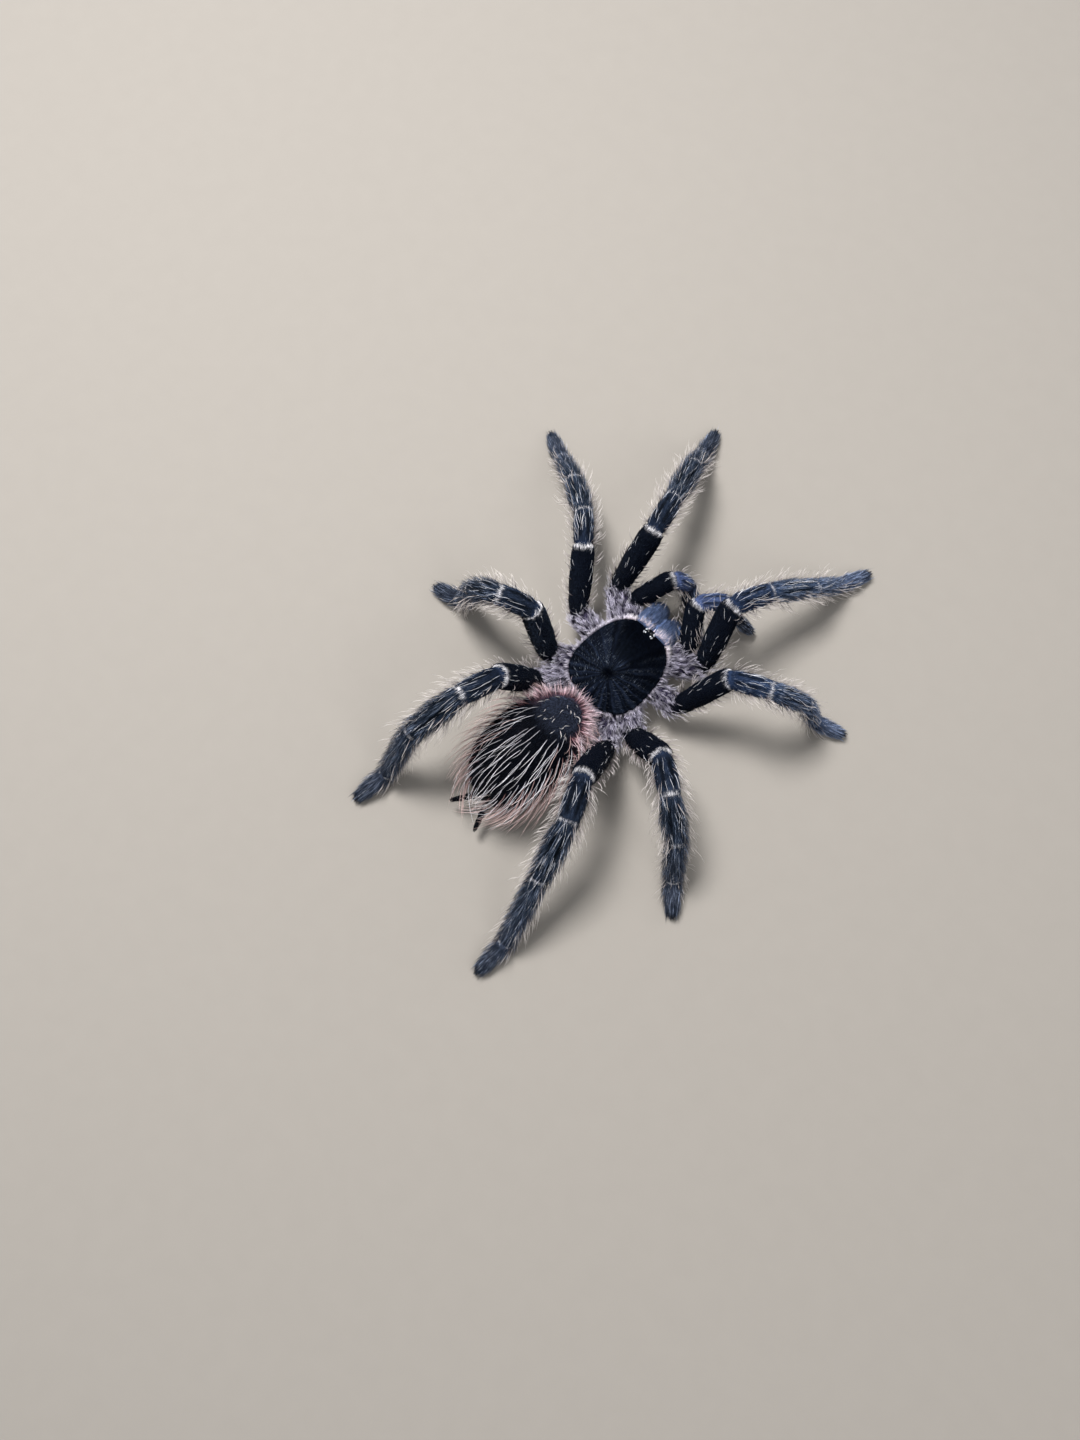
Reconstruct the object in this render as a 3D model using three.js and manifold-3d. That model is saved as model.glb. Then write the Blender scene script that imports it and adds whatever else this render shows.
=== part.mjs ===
// A salmon pink bird-eating tarantula, life size, standing on level ground: a still model.
// Millimetres, +Z up. The spider faces -Y and its own left side is +X.
// Every solid is the dense outline of the hairy body, and each named piece is one closed body.

import * as THREE from 'three';
import { mergeVertices } from 'three/addons/utils/BufferGeometryUtils.js';
import Module from 'manifold-3d';

const wasm = await Module();
wasm.setup();

// ---- Driving dimensions -------------------------------------------------------------------

const CLEARANCE = 0.24;             // left between two pieces that meet
const EYE_CLEARANCE = 0.05;         // left between an eye and its socket
const SECTION_SIDES = 10;           // corners of a limb's cross-section
const RING_STEP = 3.3;              // distance between two cross-sections of a limb

const CARAPACE_LENGTH = 25.2;
const CARAPACE_WIDTH = 21.6;        // widest, a little behind the middle
const CARAPACE_TAPER = 0.0075;      // narrower towards the front, per millimetre
const CARAPACE_ROUNDNESS = 2.6;     // exponent of the outline: 2 is an ellipse, more is squarer
const CARAPACE_UNDERSIDE = 10.7;    // height of the plate's underside over the ground
const CARAPACE_RIM = 0.9;           // thickness at the rim
const CARAPACE_CROWN = 3.9;         // rise of the dome over the rim
const HEAD_RISE = 0.9;              // extra rise of the head region
const FOVEA = [0, 4.6];             // the pit behind the middle
const TUBERCLE = { y: -10.6, halfWidth: 1.75, halfLength: 1.3, rise: 1.25 };

const STERNUM = { halfWidth: 5.5, halfLength: 8.0, y: -0.6, bottom: 5.3, top: 9.9 };
const PEDICEL = { start: 8.4, end: 15.4, radius: 1.7, height: 8.2, rise: 0.8 };

const ABDOMEN_START = 13.2;         // the front end, behind the carapace
const ABDOMEN_LENGTH = 37.4;
const ABDOMEN_HALF_WIDTH = 12.6;
const ABDOMEN_HALF_HEIGHT = 10.2;
const ABDOMEN_MIDDLE_HEIGHT = 12.8; // height of its centre line at its middle
const ABDOMEN_SWING = 2;            // degrees that it swings towards the left

const SOLE_HEIGHT = 1.2;            // a limb's tip: height of its centre line over the ground
const HEEL_HEIGHT = 2.8;            // the same at the start of its last joint

// Lengths of the joints of each limb, from the hip outwards: the palps have no metatarsus.
const LENGTHS = {
  palp: [13.5, 8, 9.5, 8.5],
  leg1: [20, 12.5, 15.5, 14, 9.5],
  leg2: [18.5, 10.5, 14, 14, 9],
  leg3: [17, 10, 13, 16, 9.5],
  leg4: [20.5, 11.5, 17, 22, 10.5],
};

// Where each limb leaves the sternum, and where its hip is: to the side, back and up.
const ROOTS = {
  palp: [2.3, -8.6, 6.9],
  leg1: [4.3, -6.2, 7.1],
  leg2: [5.3, -2.1, 7.2],
  leg3: [5.1, 2.3, 7.2],
  leg4: [3.8, 6.4, 7.1],
};
const HIPS = {
  palp: [10, -15.5, 8.8],
  leg1: [15.5, -15.5, 8.5],
  leg2: [18, -3, 8.5],
  leg3: [15, 10.5, 8.5],
  leg4: [12.5, 17.5, 8.5],
};

// Girth of each limb next to a first leg.
const GIRTHS = { palp: 0.84, leg1: 1, leg2: 0.96, leg3: 1.04, leg4: 1.06 };

// The stance, in degrees. Heading: 0 is straight ahead, 90 straight out to the limb's own
// side, 180 straight back. Rise: above level, for the joints that don't reach the ground.
const STANCE = {
  palp_left: { heading: [-25, -38, -108, -130], rise: [36, -57] },
  palp_right: { heading: [-36, 42, 68, 70], rise: [31, 0, -68] },
  leg1_left: { heading: [5, 16, 17, 17, 17], rise: [50, -18, -23] },
  leg1_right: { heading: [-20, 20, 30, 22, 22], rise: [48, -20, -26] },
  leg2_left: { heading: [40, 44, 55, 62, 65], rise: [40, -12, -28] },
  leg2_right: { heading: [25, 65, 54, 62, 68], rise: [48, 12, -38] },
  leg3_left: { heading: [74, 118, 104, 104, 106], rise: [57, 32, -48] },
  leg3_right: { heading: [98, 125, 124, 131, 137], rise: [54, 8, -34] },
  leg4_left: { heading: [154, 167, 166, 175, 174], rise: [61, 20, -30] },
  leg4_right: { heading: [168, 154, 163, 164, 180], rise: [54, -6, -26] },
};

// Radius of a first leg along each joint: fractions of the joint's length, then millimetres.
const COXA_RADII = [[0, 1.65], [0.45, 2.0], [0.8, 2.6], [1, 2.7]];
const FEMUR_RADII = [[0, 2.7], [0.25, 3.1], [0.5, 3.35], [0.8, 3.3], [1, 3.1]];
const PATELLA_RADII = [[0, 3.1], [0.45, 3.05], [1, 2.6]];
const TIBIA_RADII = [[0, 2.6], [0.35, 2.85], [0.8, 2.5], [1, 2.3]];
const METATARSUS_RADII = [[0, 2.3], [0.35, 2.2], [0.85, 2.0], [1, 2.05]];
const TARSUS_RADII = [[0, 2.05], [0.4, 2.25], [0.8, 2.15], [1, 1.9]];
const LEG_RADII = [FEMUR_RADII, PATELLA_RADII, TIBIA_RADII, METATARSUS_RADII, TARSUS_RADII];
const PALP_RADII = [FEMUR_RADII, PATELLA_RADII, TIBIA_RADII, TARSUS_RADII];
const HIP_BEND = 3.1;               // bend radius at the hip, next to the girth
const KNEE_BEND = 3.4;              // bend radius at the other joints

// The jaws: centre line and radii of each side's basal part, and its folded fang.
const JAW_LINE = [[3.15, -12.95, 11.3], [3.0, -17.1, 10.1], [2.7, -18.2, 5.2]];
const JAW_RADII = [[0, 2.95], [0.35, 3.05], [0.7, 2.75], [0.9, 2.35], [1, 1.5]];
const JAW_BEND = 3.6;
const JAW_REACH = { left: 1.5, right: 0.2 };    // how much further forward than that each one is
const FANG_LINE = [[2.55, -17.3, 4.0], [2.35, -15.2, 3.1], [1.9, -12.6, 3.7]];
const FANG_RADII = [[0, 0.8], [0.5, 0.6], [1, 0.27]];

// The long hind spinnerets, from their base to their tip.
const SPINNERET_LEFT = [[2.6, 49.4, 6.4], [4.2, 52.0, 5.8], [6.6, 55.4, 5.2]];
const SPINNERET_RIGHT = [[-1.2, 49.9, 6.2], [-2.0, 52.6, 5.4], [-3.4, 56.6, 4.4]];
const SPINNERET_RADII = [[0, 1.25], [0.3, 1.15], [0.62, 0.95], [0.9, 0.8], [1, 0.55]];

// The eyes of the left side: across, forward of the tubercle's middle, and their half sizes.
const EYES = {
  front_inner: { across: 0.44, forward: 0.42, size: [0.36, 0.36, 0.36] },
  front_outer: { across: 1.2, forward: 0.72, size: [0.34, 0.44, 0.34] },
  rear_outer: { across: 1.3, forward: -0.3, size: [0.26, 0.36, 0.26] },
  rear_inner: { across: 0.84, forward: -0.26, size: [0.18, 0.24, 0.18] },
};

// ---- Materials ----------------------------------------------------------------------------

const finish = (color, roughness) => new THREE.MeshStandardMaterial({ color, roughness });

const materials = {
  plate: finish(0x12161a, 0.6),
  velvet: finish(0x0c0e14, 0.85),
  slate: finish(0x2b3350, 0.8),
  lavender: finish(0x8f889c, 0.9),
  abdomen: finish(0x241d22, 0.9),
  underside: finish(0x1a1718, 0.9),
  horn: finish(0x070506, 0.3),
  eye: finish(0x08070a, 0.08),
};

// ---- Helpers ------------------------------------------------------------------------------

const UP = new THREE.Vector3(0, 0, 1);
const radians = THREE.MathUtils.degToRad;
const vector = ([x, y, z]) => new THREE.Vector3(x, y, z);

// A closed body through a list of rings, each a list of the same number of points. The rings
// run along the body, their points turn to the right about its direction, and a flat cap
// closes each end.
function loft(rings) {
  const sides = rings[0].length;
  const points = rings.flat();
  const faces = [];
  for (let ring = 0; ring + 1 < rings.length; ring += 1) {
    for (let side = 0; side < sides; side += 1) {
      const next = (side + 1) % sides;
      const [a, b] = [ring * sides + side, ring * sides + next];
      const [c, d] = [a + sides, b + sides];
      faces.push(a, b, d, a, d, c);
    }
  }
  const last = (rings.length - 1) * sides;
  for (let side = 1; side + 1 < sides; side += 1) {
    faces.push(0, side + 1, side);
    faces.push(last, last + side, last + side + 1);
  }
  const geometry = new THREE.BufferGeometry();
  geometry.setAttribute('position', new THREE.Float32BufferAttribute(
    points.flatMap((point) => point.toArray()), 3));
  geometry.setIndex(faces);
  return geometry;
}

// The same shape as a solid that can be joined and cut.
function toSolid(geometry) {
  const bare = geometry.clone();
  bare.deleteAttribute('normal');
  bare.deleteAttribute('uv');
  const merged = mergeVertices(bare, 1e-4);
  return new wasm.Manifold(new wasm.Mesh({
    numProp: 3,
    vertProperties: new Float32Array(merged.attributes.position.array),
    triVerts: new Uint32Array(merged.index.array),
  }));
}

function toGeometry(solid) {
  const mesh = solid.getMesh();
  const geometry = new THREE.BufferGeometry();
  geometry.setAttribute('position', new THREE.BufferAttribute(mesh.vertProperties, 3));
  geometry.setIndex(new THREE.BufferAttribute(mesh.triVerts, 1));
  return geometry;
}

// Takes every cutter away from a geometry.
function cut(geometry, ...cutters) {
  let solid = toSolid(geometry);
  for (const cutter of cutters) solid = solid.subtract(toSolid(cutter));
  return toGeometry(solid);
}

const join = (geometry, added) => toGeometry(toSolid(geometry).add(toSolid(added)));

// An ellipsoid from its centre and its three half sizes.
function ellipsoid(centre, halfSizes, around, rows) {
  return new THREE.SphereGeometry(1, around, rows)
    .rotateX(Math.PI / 2)
    .scale(...halfSizes)
    .translate(...centre);
}

// A value read from a list of [position, value] knots, eased between them.
function readKnots(knots, position) {
  const next = knots.findIndex(([at]) => at >= position);
  if (next === -1) return knots.at(-1)[1];
  if (next === 0) return knots[0][1];
  const [[x0, v0], [x1, v1]] = [knots[next - 1], knots[next]];
  return v0 + (v1 - v0) * THREE.MathUtils.smoothstep(position, x0, x1);
}

// A centre line: straight lengths between corners, with a round bend at each inner corner.
// at(distance) gives the point and the direction there, and joints the distance of each
// corner, an inner one's being the middle of its bend.
function centreLine(corners, bendRadii) {
  const lengths = corners.slice(1).map((corner, i) => corner.distanceTo(corners[i]));
  const directions = corners.slice(1).map((corner, i) => corner.clone().sub(corners[i]).normalize());
  const parts = [];
  const joints = [0];
  let travelled = 0;
  let trimmed = 0;
  directions.forEach((direction, i) => {
    const start = corners[i].clone().addScaledVector(direction, trimmed);
    const after = directions[i + 1];
    const angle = after ? direction.angleTo(after) : 0;
    const bends = angle > 1e-3;
    const room = after ? 0.45 * Math.min(lengths[i], lengths[i + 1]) : 0;
    const trim = bends ? Math.min(bendRadii[i] * Math.tan(angle / 2), room) : 0;
    const straight = lengths[i] - trimmed - trim;
    parts.push({
      from: travelled,
      at: (d) => ({ point: start.clone().addScaledVector(direction, d), along: direction.clone() }),
    });
    travelled += straight;
    trimmed = trim;
    if (bends) {
      const radius = trim / Math.tan(angle / 2);
      const entry = corners[i + 1].clone().addScaledVector(direction, -trim);
      const inward = after.clone().addScaledVector(direction, -Math.cos(angle)).normalize();
      parts.push({
        from: travelled,
        at: (d) => ({
          point: entry.clone().addScaledVector(direction, radius * Math.sin(d / radius))
            .addScaledVector(inward, radius * (1 - Math.cos(d / radius))),
          along: direction.clone().multiplyScalar(Math.cos(d / radius))
            .addScaledVector(inward, Math.sin(d / radius)),
        }),
      });
      joints.push(travelled + radius * angle / 2);
      travelled += radius * angle;
    } else {
      joints.push(travelled);
    }
  });
  const at = (distance) => {
    const part = parts.findLast(({ from }) => from <= distance + 1e-9) ?? parts[0];
    return part.at(distance - part.from);
  };
  return { at, joints, length: travelled };
}

// One cross-section of a limb, round, kept out of the ground.
function section({ point, along }, radius, sides = SECTION_SIDES) {
  const across = new THREE.Vector3().crossVectors(along, UP).normalize();
  const above = new THREE.Vector3().crossVectors(across, along);
  return Array.from({ length: sides }, (_, i) => {
    const turn = 2 * Math.PI * i / sides;
    const corner = point.clone()
      .addScaledVector(across, radius * Math.cos(turn))
      .addScaledVector(above, -radius * Math.sin(turn));
    corner.z = Math.max(corner.z, 0);
    return corner;
  });
}

// The stretch of a line between two distances, as a tube. grow makes it thicker and longer,
// for cutting its neighbours back, and a round tip closes in over its last stretch.
function tube(line, from, to, radiusAt, { grow = 0, tip = 0, sides = SECTION_SIDES } = {}) {
  const [start, end] = [from - grow, to + grow];
  const body = end - tip;
  const count = Math.max(2, Math.ceil((body - start) / RING_STEP) + 1);
  const rings = [];
  for (let i = 0; i < count; i += 1) {
    const distance = THREE.MathUtils.lerp(start, body, i / (count - 1));
    rings.push(section(line.at(distance), radiusAt(distance) + grow, sides));
  }
  for (const share of tip ? [0.5, 0.85, 1] : []) {
    const radius = radiusAt(body) * Math.max(Math.sqrt(1 - share ** 2), 0.25);
    rings.push(section(line.at(body + tip * share), radius + grow, sides));
  }
  return loft(rings);
}

const root = new THREE.Group();

function addPiece(name, geometry, material) {
  const piece = new THREE.Mesh(geometry, material);
  piece.name = name;
  root.add(piece);
}

// ---- Carapace, sternum and pedicel --------------------------------------------------------

// Half width of the carapace at a place along the body.
function carapaceHalfWidth(y) {
  const reach = Math.min(Math.abs(y) / (CARAPACE_LENGTH / 2), 1);
  const curve = (1 - reach ** CARAPACE_ROUNDNESS) ** (1 / CARAPACE_ROUNDNESS);
  return (CARAPACE_WIDTH / 2) * (1 + CARAPACE_TAPER * y) * curve;
}

// Height of the dome: a flat-topped crown, higher at the head.
function carapaceTop(x, y, share) {
  const crown = CARAPACE_CROWN * (1 - share ** 2.3);
  const head = HEAD_RISE * Math.exp(-((x / 5.5) ** 2) - ((y + 6) / 6) ** 2);
  return CARAPACE_UNDERSIDE + CARAPACE_RIM + crown + head;
}

// The outline shrunk about the middle to a share of its size.
function carapaceRing(share, around, heightAt) {
  return Array.from({ length: around }, (_, i) => {
    const turn = 2 * Math.PI * i / around;
    const y = -(CARAPACE_LENGTH / 2) * Math.cos(turn);
    const squeeze = carapaceHalfWidth(y) / Math.max(Math.abs(Math.sin(turn)), 1e-6);
    const x = Math.abs(Math.sin(turn)) < 1e-6 ? 0 : squeeze * Math.sin(turn);
    return new THREE.Vector3(x * share, y * share, heightAt(x * share, y * share, share));
  });
}

function makeCarapace() {
  const around = 28;
  const underside = () => CARAPACE_UNDERSIDE;
  const rings = [carapaceRing(0.94, around, underside)];
  for (const share of [1, 0.93, 0.8, 0.62, 0.4, 0.16]) {
    rings.push(carapaceRing(share, around, carapaceTop));
  }
  const dome = loft(rings);
  const top = carapaceTop(0, TUBERCLE.y, Math.abs(TUBERCLE.y) / (CARAPACE_LENGTH / 2));
  const halfSizes = [TUBERCLE.halfWidth, TUBERCLE.halfLength, TUBERCLE.rise];
  const tubercle = ellipsoid([0, TUBERCLE.y, top], halfSizes, 13, 6);
  const pitTop = carapaceTop(...FOVEA, FOVEA[1] / (CARAPACE_LENGTH / 2));
  const pit = ellipsoid([...FOVEA, pitTop], [1.5, 0.6, 0.7], 8, 5);
  const sockets = eyePlaces().map(({ centre, size, turn }) => eyeShape(centre, size, turn, EYE_CLEARANCE));
  return cut(join(dome, tubercle), pit, ...sockets);
}

// The eyes sit on the tubercle with about half of each showing.
function eyePlaces() {
  const top = carapaceTop(0, TUBERCLE.y, Math.abs(TUBERCLE.y) / (CARAPACE_LENGTH / 2));
  const places = [];
  for (const [name, { across, forward, size }] of Object.entries(EYES)) {
    const flat = (across / TUBERCLE.halfWidth) ** 2 + (forward / TUBERCLE.halfLength) ** 2;
    const height = top + TUBERCLE.rise * Math.sqrt(Math.max(1 - flat, 0.05));
    for (const [label, side] of [['left', 1], ['right', -1]]) {
      places.push({
        name: `eye_${name}_${label}`,
        centre: [side * across, TUBERCLE.y - forward, height - 0.3 * size[2]],
        size,
        turn: side * (forward > 0 ? -0.6 : 0.5),
      });
    }
  }
  return places;
}

function eyeShape(centre, size, turn, grow = 0) {
  return new THREE.SphereGeometry(1, 8, 5)
    .rotateX(Math.PI / 2)
    .scale(size[0] + grow, size[1] + grow, size[2] + grow)
    .rotateZ(turn)
    .translate(...centre);
}

function ovalRing(halfWidth, halfLength, y, z, around) {
  return Array.from({ length: around }, (_, i) => {
    const turn = 2 * Math.PI * i / around;
    return new THREE.Vector3(halfWidth * Math.sin(turn), y - halfLength * Math.cos(turn), z);
  });
}

function makeSternum(neighbours) {
  const { halfWidth, halfLength, y, bottom, top } = STERNUM;
  const rings = [[0.72, bottom], [0.95, bottom + 0.5], [1, bottom + 1.6], [1, top]];
  const plate = loft(rings.map(([share, z]) => ovalRing(halfWidth * share, halfLength * share, y, z, 20)));
  return cut(plate, ...neighbours);
}

function pedicelShape(grow = 0) {
  const { start, end, radius, height, rise } = PEDICEL;
  const line = centreLine([[0, start, height], [0, end, height + rise]].map(vector), []);
  return tube(line, 0, line.length, () => radius, { grow });
}

// ---- Abdomen and spinnerets ---------------------------------------------------------------

// Egg-shaped, widest behind its middle, with its centre line dipping to both ends.
function makeAbdomen(neighbours) {
  const [slices, around] = [13, 18];
  const rings = [];
  for (let slice = 0; slice <= slices; slice += 1) {
    const along = 0.5 - 0.5 * Math.cos(Math.PI * (0.04 + 0.92 * slice / slices));
    const swell = Math.sqrt(1 - Math.abs(2 * along ** 1.16 - 1) ** 2.4);
    const height = ABDOMEN_MIDDLE_HEIGHT - 2 * (2 * along - 1) ** 2 - 1.2 * (2 * along - 1);
    rings.push(Array.from({ length: around }, (_, i) => {
      const turn = 2 * Math.PI * i / around;
      const belly = Math.sin(turn) > 0 ? 0.92 : 1;
      return new THREE.Vector3(
        ABDOMEN_HALF_WIDTH * swell * Math.cos(turn),
        ABDOMEN_LENGTH * along,
        height - ABDOMEN_HALF_HEIGHT * swell * belly * Math.sin(turn),
      );
    }));
  }
  const egg = loft(rings)
    .rotateZ(-radians(ABDOMEN_SWING))
    .translate(0, ABDOMEN_START, 0);
  return cut(egg, ...neighbours);
}

function spinneretShape(corners, grow = 0) {
  const line = centreLine(corners.map(vector), [4]);
  const radiusAt = (d) => readKnots(SPINNERET_RADII, d / line.length);
  return tube(line, 0, line.length, radiusAt, { grow, tip: 0.7, sides: 8 });
}

// ---- Jaws ---------------------------------------------------------------------------------

// Corners on one side, moved forward by its jaw's reach from the given one on.
function jawCorners(corners, side, first) {
  const reach = side > 0 ? JAW_REACH.left : JAW_REACH.right;
  return corners.map(([x, y, z], i) => vector([side * x, i < first ? y : y - reach, z]));
}

function makeJaw(side, neighbours) {
  const line = centreLine(jawCorners(JAW_LINE, side, 1), [JAW_BEND]);
  const radiusAt = (d) => readKnots(JAW_RADII, d / line.length);
  return cut(tube(line, 0, line.length, radiusAt, { sides: 14, tip: 0.8 }), ...neighbours);
}

function fangShape(side, grow = 0) {
  const line = centreLine(jawCorners(FANG_LINE, side, 0), [5]);
  const radiusAt = (d) => readKnots(FANG_RADII, d / line.length);
  return tube(line, 0, line.length, radiusAt, { grow, sides: 8 });
}

// ---- Limbs --------------------------------------------------------------------------------

// The corners of a limb: its root, its hip, the end of each joint and its tip.
function limbCorners(kind, label) {
  const side = label === 'left' ? 1 : -1;
  const { heading, rise } = STANCE[`${kind}_${label}`];
  const corners = [ROOTS[kind], HIPS[kind]].map(([x, y, z]) => vector([side * x, y, z]));
  const lengths = LENGTHS[kind];
  lengths.forEach((length, i) => {
    const from = corners.at(-1);
    const height = i === lengths.length - 1 ? SOLE_HEIGHT : HEEL_HEIGHT;
    const slope = i < rise.length ? radians(rise[i]) : Math.asin((height - from.z) / length);
    const turn = radians(heading[i]);
    corners.push(new THREE.Vector3(
      from.x + side * length * Math.cos(slope) * Math.sin(turn),
      from.y - length * Math.cos(slope) * Math.cos(turn),
      from.z + length * Math.sin(slope),
    ));
  });
  return corners;
}

// The limb's radius at a distance along its line.
function limbGirth(kind, line) {
  const profiles = [COXA_RADII, ...(kind === 'palp' ? PALP_RADII : LEG_RADII)];
  return (distance) => {
    const inside = line.joints.findLastIndex((joint) => joint <= distance);
    const joint = THREE.MathUtils.clamp(inside, 0, profiles.length - 1);
    const share = (distance - line.joints[joint]) / (line.joints[joint + 1] - line.joints[joint]);
    return GIRTHS[kind] * readKnots(profiles[joint], THREE.MathUtils.clamp(share, 0, 1));
  };
}

// A leg is parted into coxa, femur, shin (patella and tibia) and foot (metatarsus and
// tarsus), and a palp the same way, with its tarsus as the foot.
function makeLimb(kind, label) {
  const corners = limbCorners(kind, label);
  const bends = corners.slice(2).map((_, i) => (i === 0 ? HIP_BEND : KNEE_BEND) * GIRTHS[kind]);
  const line = centreLine(corners, bends);
  const radiusAt = limbGirth(kind, line);
  const [, hip, knee, , ankle] = line.joints;
  const half = CLEARANCE / 2;
  return {
    coxa: tube(line, 0, hip - half, radiusAt),
    coxaCutter: tube(line, 0, hip - half, radiusAt, { grow: CLEARANCE }),
    femur: tube(line, hip + half, knee - half, radiusAt),
    shin: tube(line, knee + half, ankle - half, radiusAt),
    foot: tube(line, ankle + half, line.length, radiusAt, { tip: 1.5 * GIRTHS[kind] }),
  };
}

// ---- The whole spider ---------------------------------------------------------------------

const coxaCutters = [];
const jawCutters = { left: [fangShape(1, CLEARANCE)], right: [fangShape(-1, CLEARANCE)] };

for (const label of ['left', 'right']) {
  let previous = [];
  for (const kind of Object.keys(LENGTHS)) {
    const limb = makeLimb(kind, label);
    addPiece(`${kind}_${label}_coxa`, cut(limb.coxa, ...previous), materials.lavender);
    addPiece(`${kind}_${label}_femur`, limb.femur, materials.velvet);
    addPiece(`${kind}_${label}_shin`, limb.shin, materials.slate);
    addPiece(`${kind}_${label}_foot`, limb.foot, materials.velvet);
    coxaCutters.push(limb.coxaCutter);
    if (kind === 'palp') jawCutters[label].push(limb.coxaCutter);
    previous = [limb.coxaCutter];
  }
}

addPiece('carapace', makeCarapace(), materials.plate);
for (const { name, centre, size, turn } of eyePlaces()) {
  addPiece(name, eyeShape(centre, size, turn), materials.eye);
}
addPiece('sternum', makeSternum(coxaCutters), materials.underside);
addPiece('pedicel', pedicelShape(), materials.underside);

addPiece('jaw_left', makeJaw(1, jawCutters.left), materials.slate);
addPiece('jaw_right', makeJaw(-1, jawCutters.right), materials.slate);
addPiece('fang_left', fangShape(1), materials.horn);
addPiece('fang_right', fangShape(-1), materials.horn);

const spinneretCutters = [SPINNERET_LEFT, SPINNERET_RIGHT].map((line) => spinneretShape(line, CLEARANCE));
const abdomenCutters = [pedicelShape(CLEARANCE), ...spinneretCutters];
addPiece('abdomen', makeAbdomen(abdomenCutters), materials.abdomen);
addPiece('spinneret_left', spinneretShape(SPINNERET_LEFT), materials.velvet);
addPiece('spinneret_right', spinneretShape(SPINNERET_RIGHT), materials.velvet);

// The origin is on the ground, below the middle of the whole spider's box.
const box = new THREE.Box3().setFromObject(root);
const middle = box.getCenter(new THREE.Vector3());
root.position.set(-middle.x, -middle.y, -box.min.z);

export default root;
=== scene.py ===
# %% [markdown]
# # A bird-eating tarantula, life size
# The solids of the frame give each part its place and its outline, out to the tips of the
# coat. Here they get their looks: one skin, a shell plate, eyes and fangs, and then the
# hair, which is most of what the eye sees on such a spider. The solids could be kept and
# only coloured, but their edges would show through the coat, so they are made anew.

import math
from collections import namedtuple
from types import SimpleNamespace

import bpy
import numpy as np
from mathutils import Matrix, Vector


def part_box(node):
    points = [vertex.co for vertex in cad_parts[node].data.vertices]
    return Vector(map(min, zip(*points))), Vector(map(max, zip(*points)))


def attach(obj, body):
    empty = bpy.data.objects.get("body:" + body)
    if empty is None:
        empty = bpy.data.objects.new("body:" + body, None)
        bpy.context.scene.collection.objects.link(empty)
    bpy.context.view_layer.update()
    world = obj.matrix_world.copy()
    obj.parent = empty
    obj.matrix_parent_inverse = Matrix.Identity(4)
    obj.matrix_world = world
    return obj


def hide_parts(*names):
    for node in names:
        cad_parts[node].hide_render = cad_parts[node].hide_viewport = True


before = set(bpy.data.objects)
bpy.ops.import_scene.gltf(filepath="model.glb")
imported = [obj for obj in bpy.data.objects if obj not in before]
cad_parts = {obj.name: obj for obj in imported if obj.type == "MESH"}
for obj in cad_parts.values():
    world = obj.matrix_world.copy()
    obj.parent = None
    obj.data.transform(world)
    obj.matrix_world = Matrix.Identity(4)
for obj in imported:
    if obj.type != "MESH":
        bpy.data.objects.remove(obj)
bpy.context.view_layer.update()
MM = 0.001
TURN = 2 * math.pi
UP = np.array([0.0, 0.0, 1.0])
SIDES = {"left": 1, "right": -1}
RNG = np.random.default_rng(11)
plate_low, plate_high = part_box("carapace")
BODY_PLACE = np.array([(plate_low[i] + plate_high[i]) / 2 / MM for i in (0, 1)] + [0.0])
print("middle of the shell plate, in millimetres:", BODY_PLACE.round(3))

# %% [markdown]
# ## Camera, floor and light
# The spider is seen from nearly overhead, from behind its right side, with a wide lens held
# close. One hard lamp would do for a pale animal, but a black coat only shows its form by
# its gloss. So the light is a large soft window, weaker ones opposite and a pale surround.

# %% Camera
AIM = np.array([2.57, 17.91, 0.0])      # on the floor, beside the abdomen

def put(name, data):
    """A new object in the scene."""
    thing = bpy.data.objects.new(name, data)
    bpy.context.collection.objects.link(thing)
    return thing

def stand(name, data, aim, distance, azimuth, elevation):
    """A camera or light that faces a spot from a distance in millimetres, at two angles."""
    turn, tilt = math.radians(azimuth), math.radians(elevation)
    level = math.cos(tilt)
    away = np.array([math.sin(turn) * level, -math.cos(turn) * level, math.sin(tilt)])
    thing = put(name, data)
    thing.location = MM * (aim + distance * away)
    thing.rotation_euler = (math.radians(90 - elevation), 0, turn)
    return thing

lens = bpy.data.cameras.new("camera")
lens.lens, lens.sensor_width = 27, 36
camera = stand("camera", lens, AIM, distance=288.9, azimuth=225, elevation=78)
bpy.context.scene.camera = camera
print("camera at", [round(c, 4) for c in camera.location])

# %% Lights and surround
LIGHTS = {  # azimuth, elevation, distance and size in millimetres, power
    "window": (80, 62, 800, 260, 10.6),
    "far_window": (265, 48, 900, 450, 1.9),
    "low_fill": (340, 28, 900, 450, 0.9),
}
for name, (azimuth, elevation, distance, size, power) in LIGHTS.items():
    light = bpy.data.lights.new(name, "AREA")
    light.size, light.energy = MM * size, power
    stand(name, light, BODY_PLACE, distance, azimuth, elevation)
world = bpy.data.worlds.new("surround")
bpy.context.scene.world = world
world.use_nodes = True
sky = world.node_tree.nodes["Background"].inputs
sky["Color"].default_value = (0.9, 0.95, 1.0, 1)
sky["Strength"].default_value = 0.35
bpy.context.scene.view_settings.view_transform = "Standard"
print("lights:", ", ".join(LIGHTS))

# %% [markdown]
# ## Making shapes
# A body like this could be sculpted by hand. Here each piece is a surface by formula: a
# function of two numbers, one along the piece and one round it, that gives points. A grid of
# such numbers makes a mesh, and the same function at scattered places gives the roots of
# hairs, so the coat always fits the skin. All of it runs on whole arrays, in millimetres,
# with the origin on the floor below the middle of the shell plate.

# %% Arrays and curves
Line = namedtuple("Line", "distance point along joints")    # close points along a bent line
Patch = namedtuple("Patch", "at u")     # a surface: its function, and where u starts and ends

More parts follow.
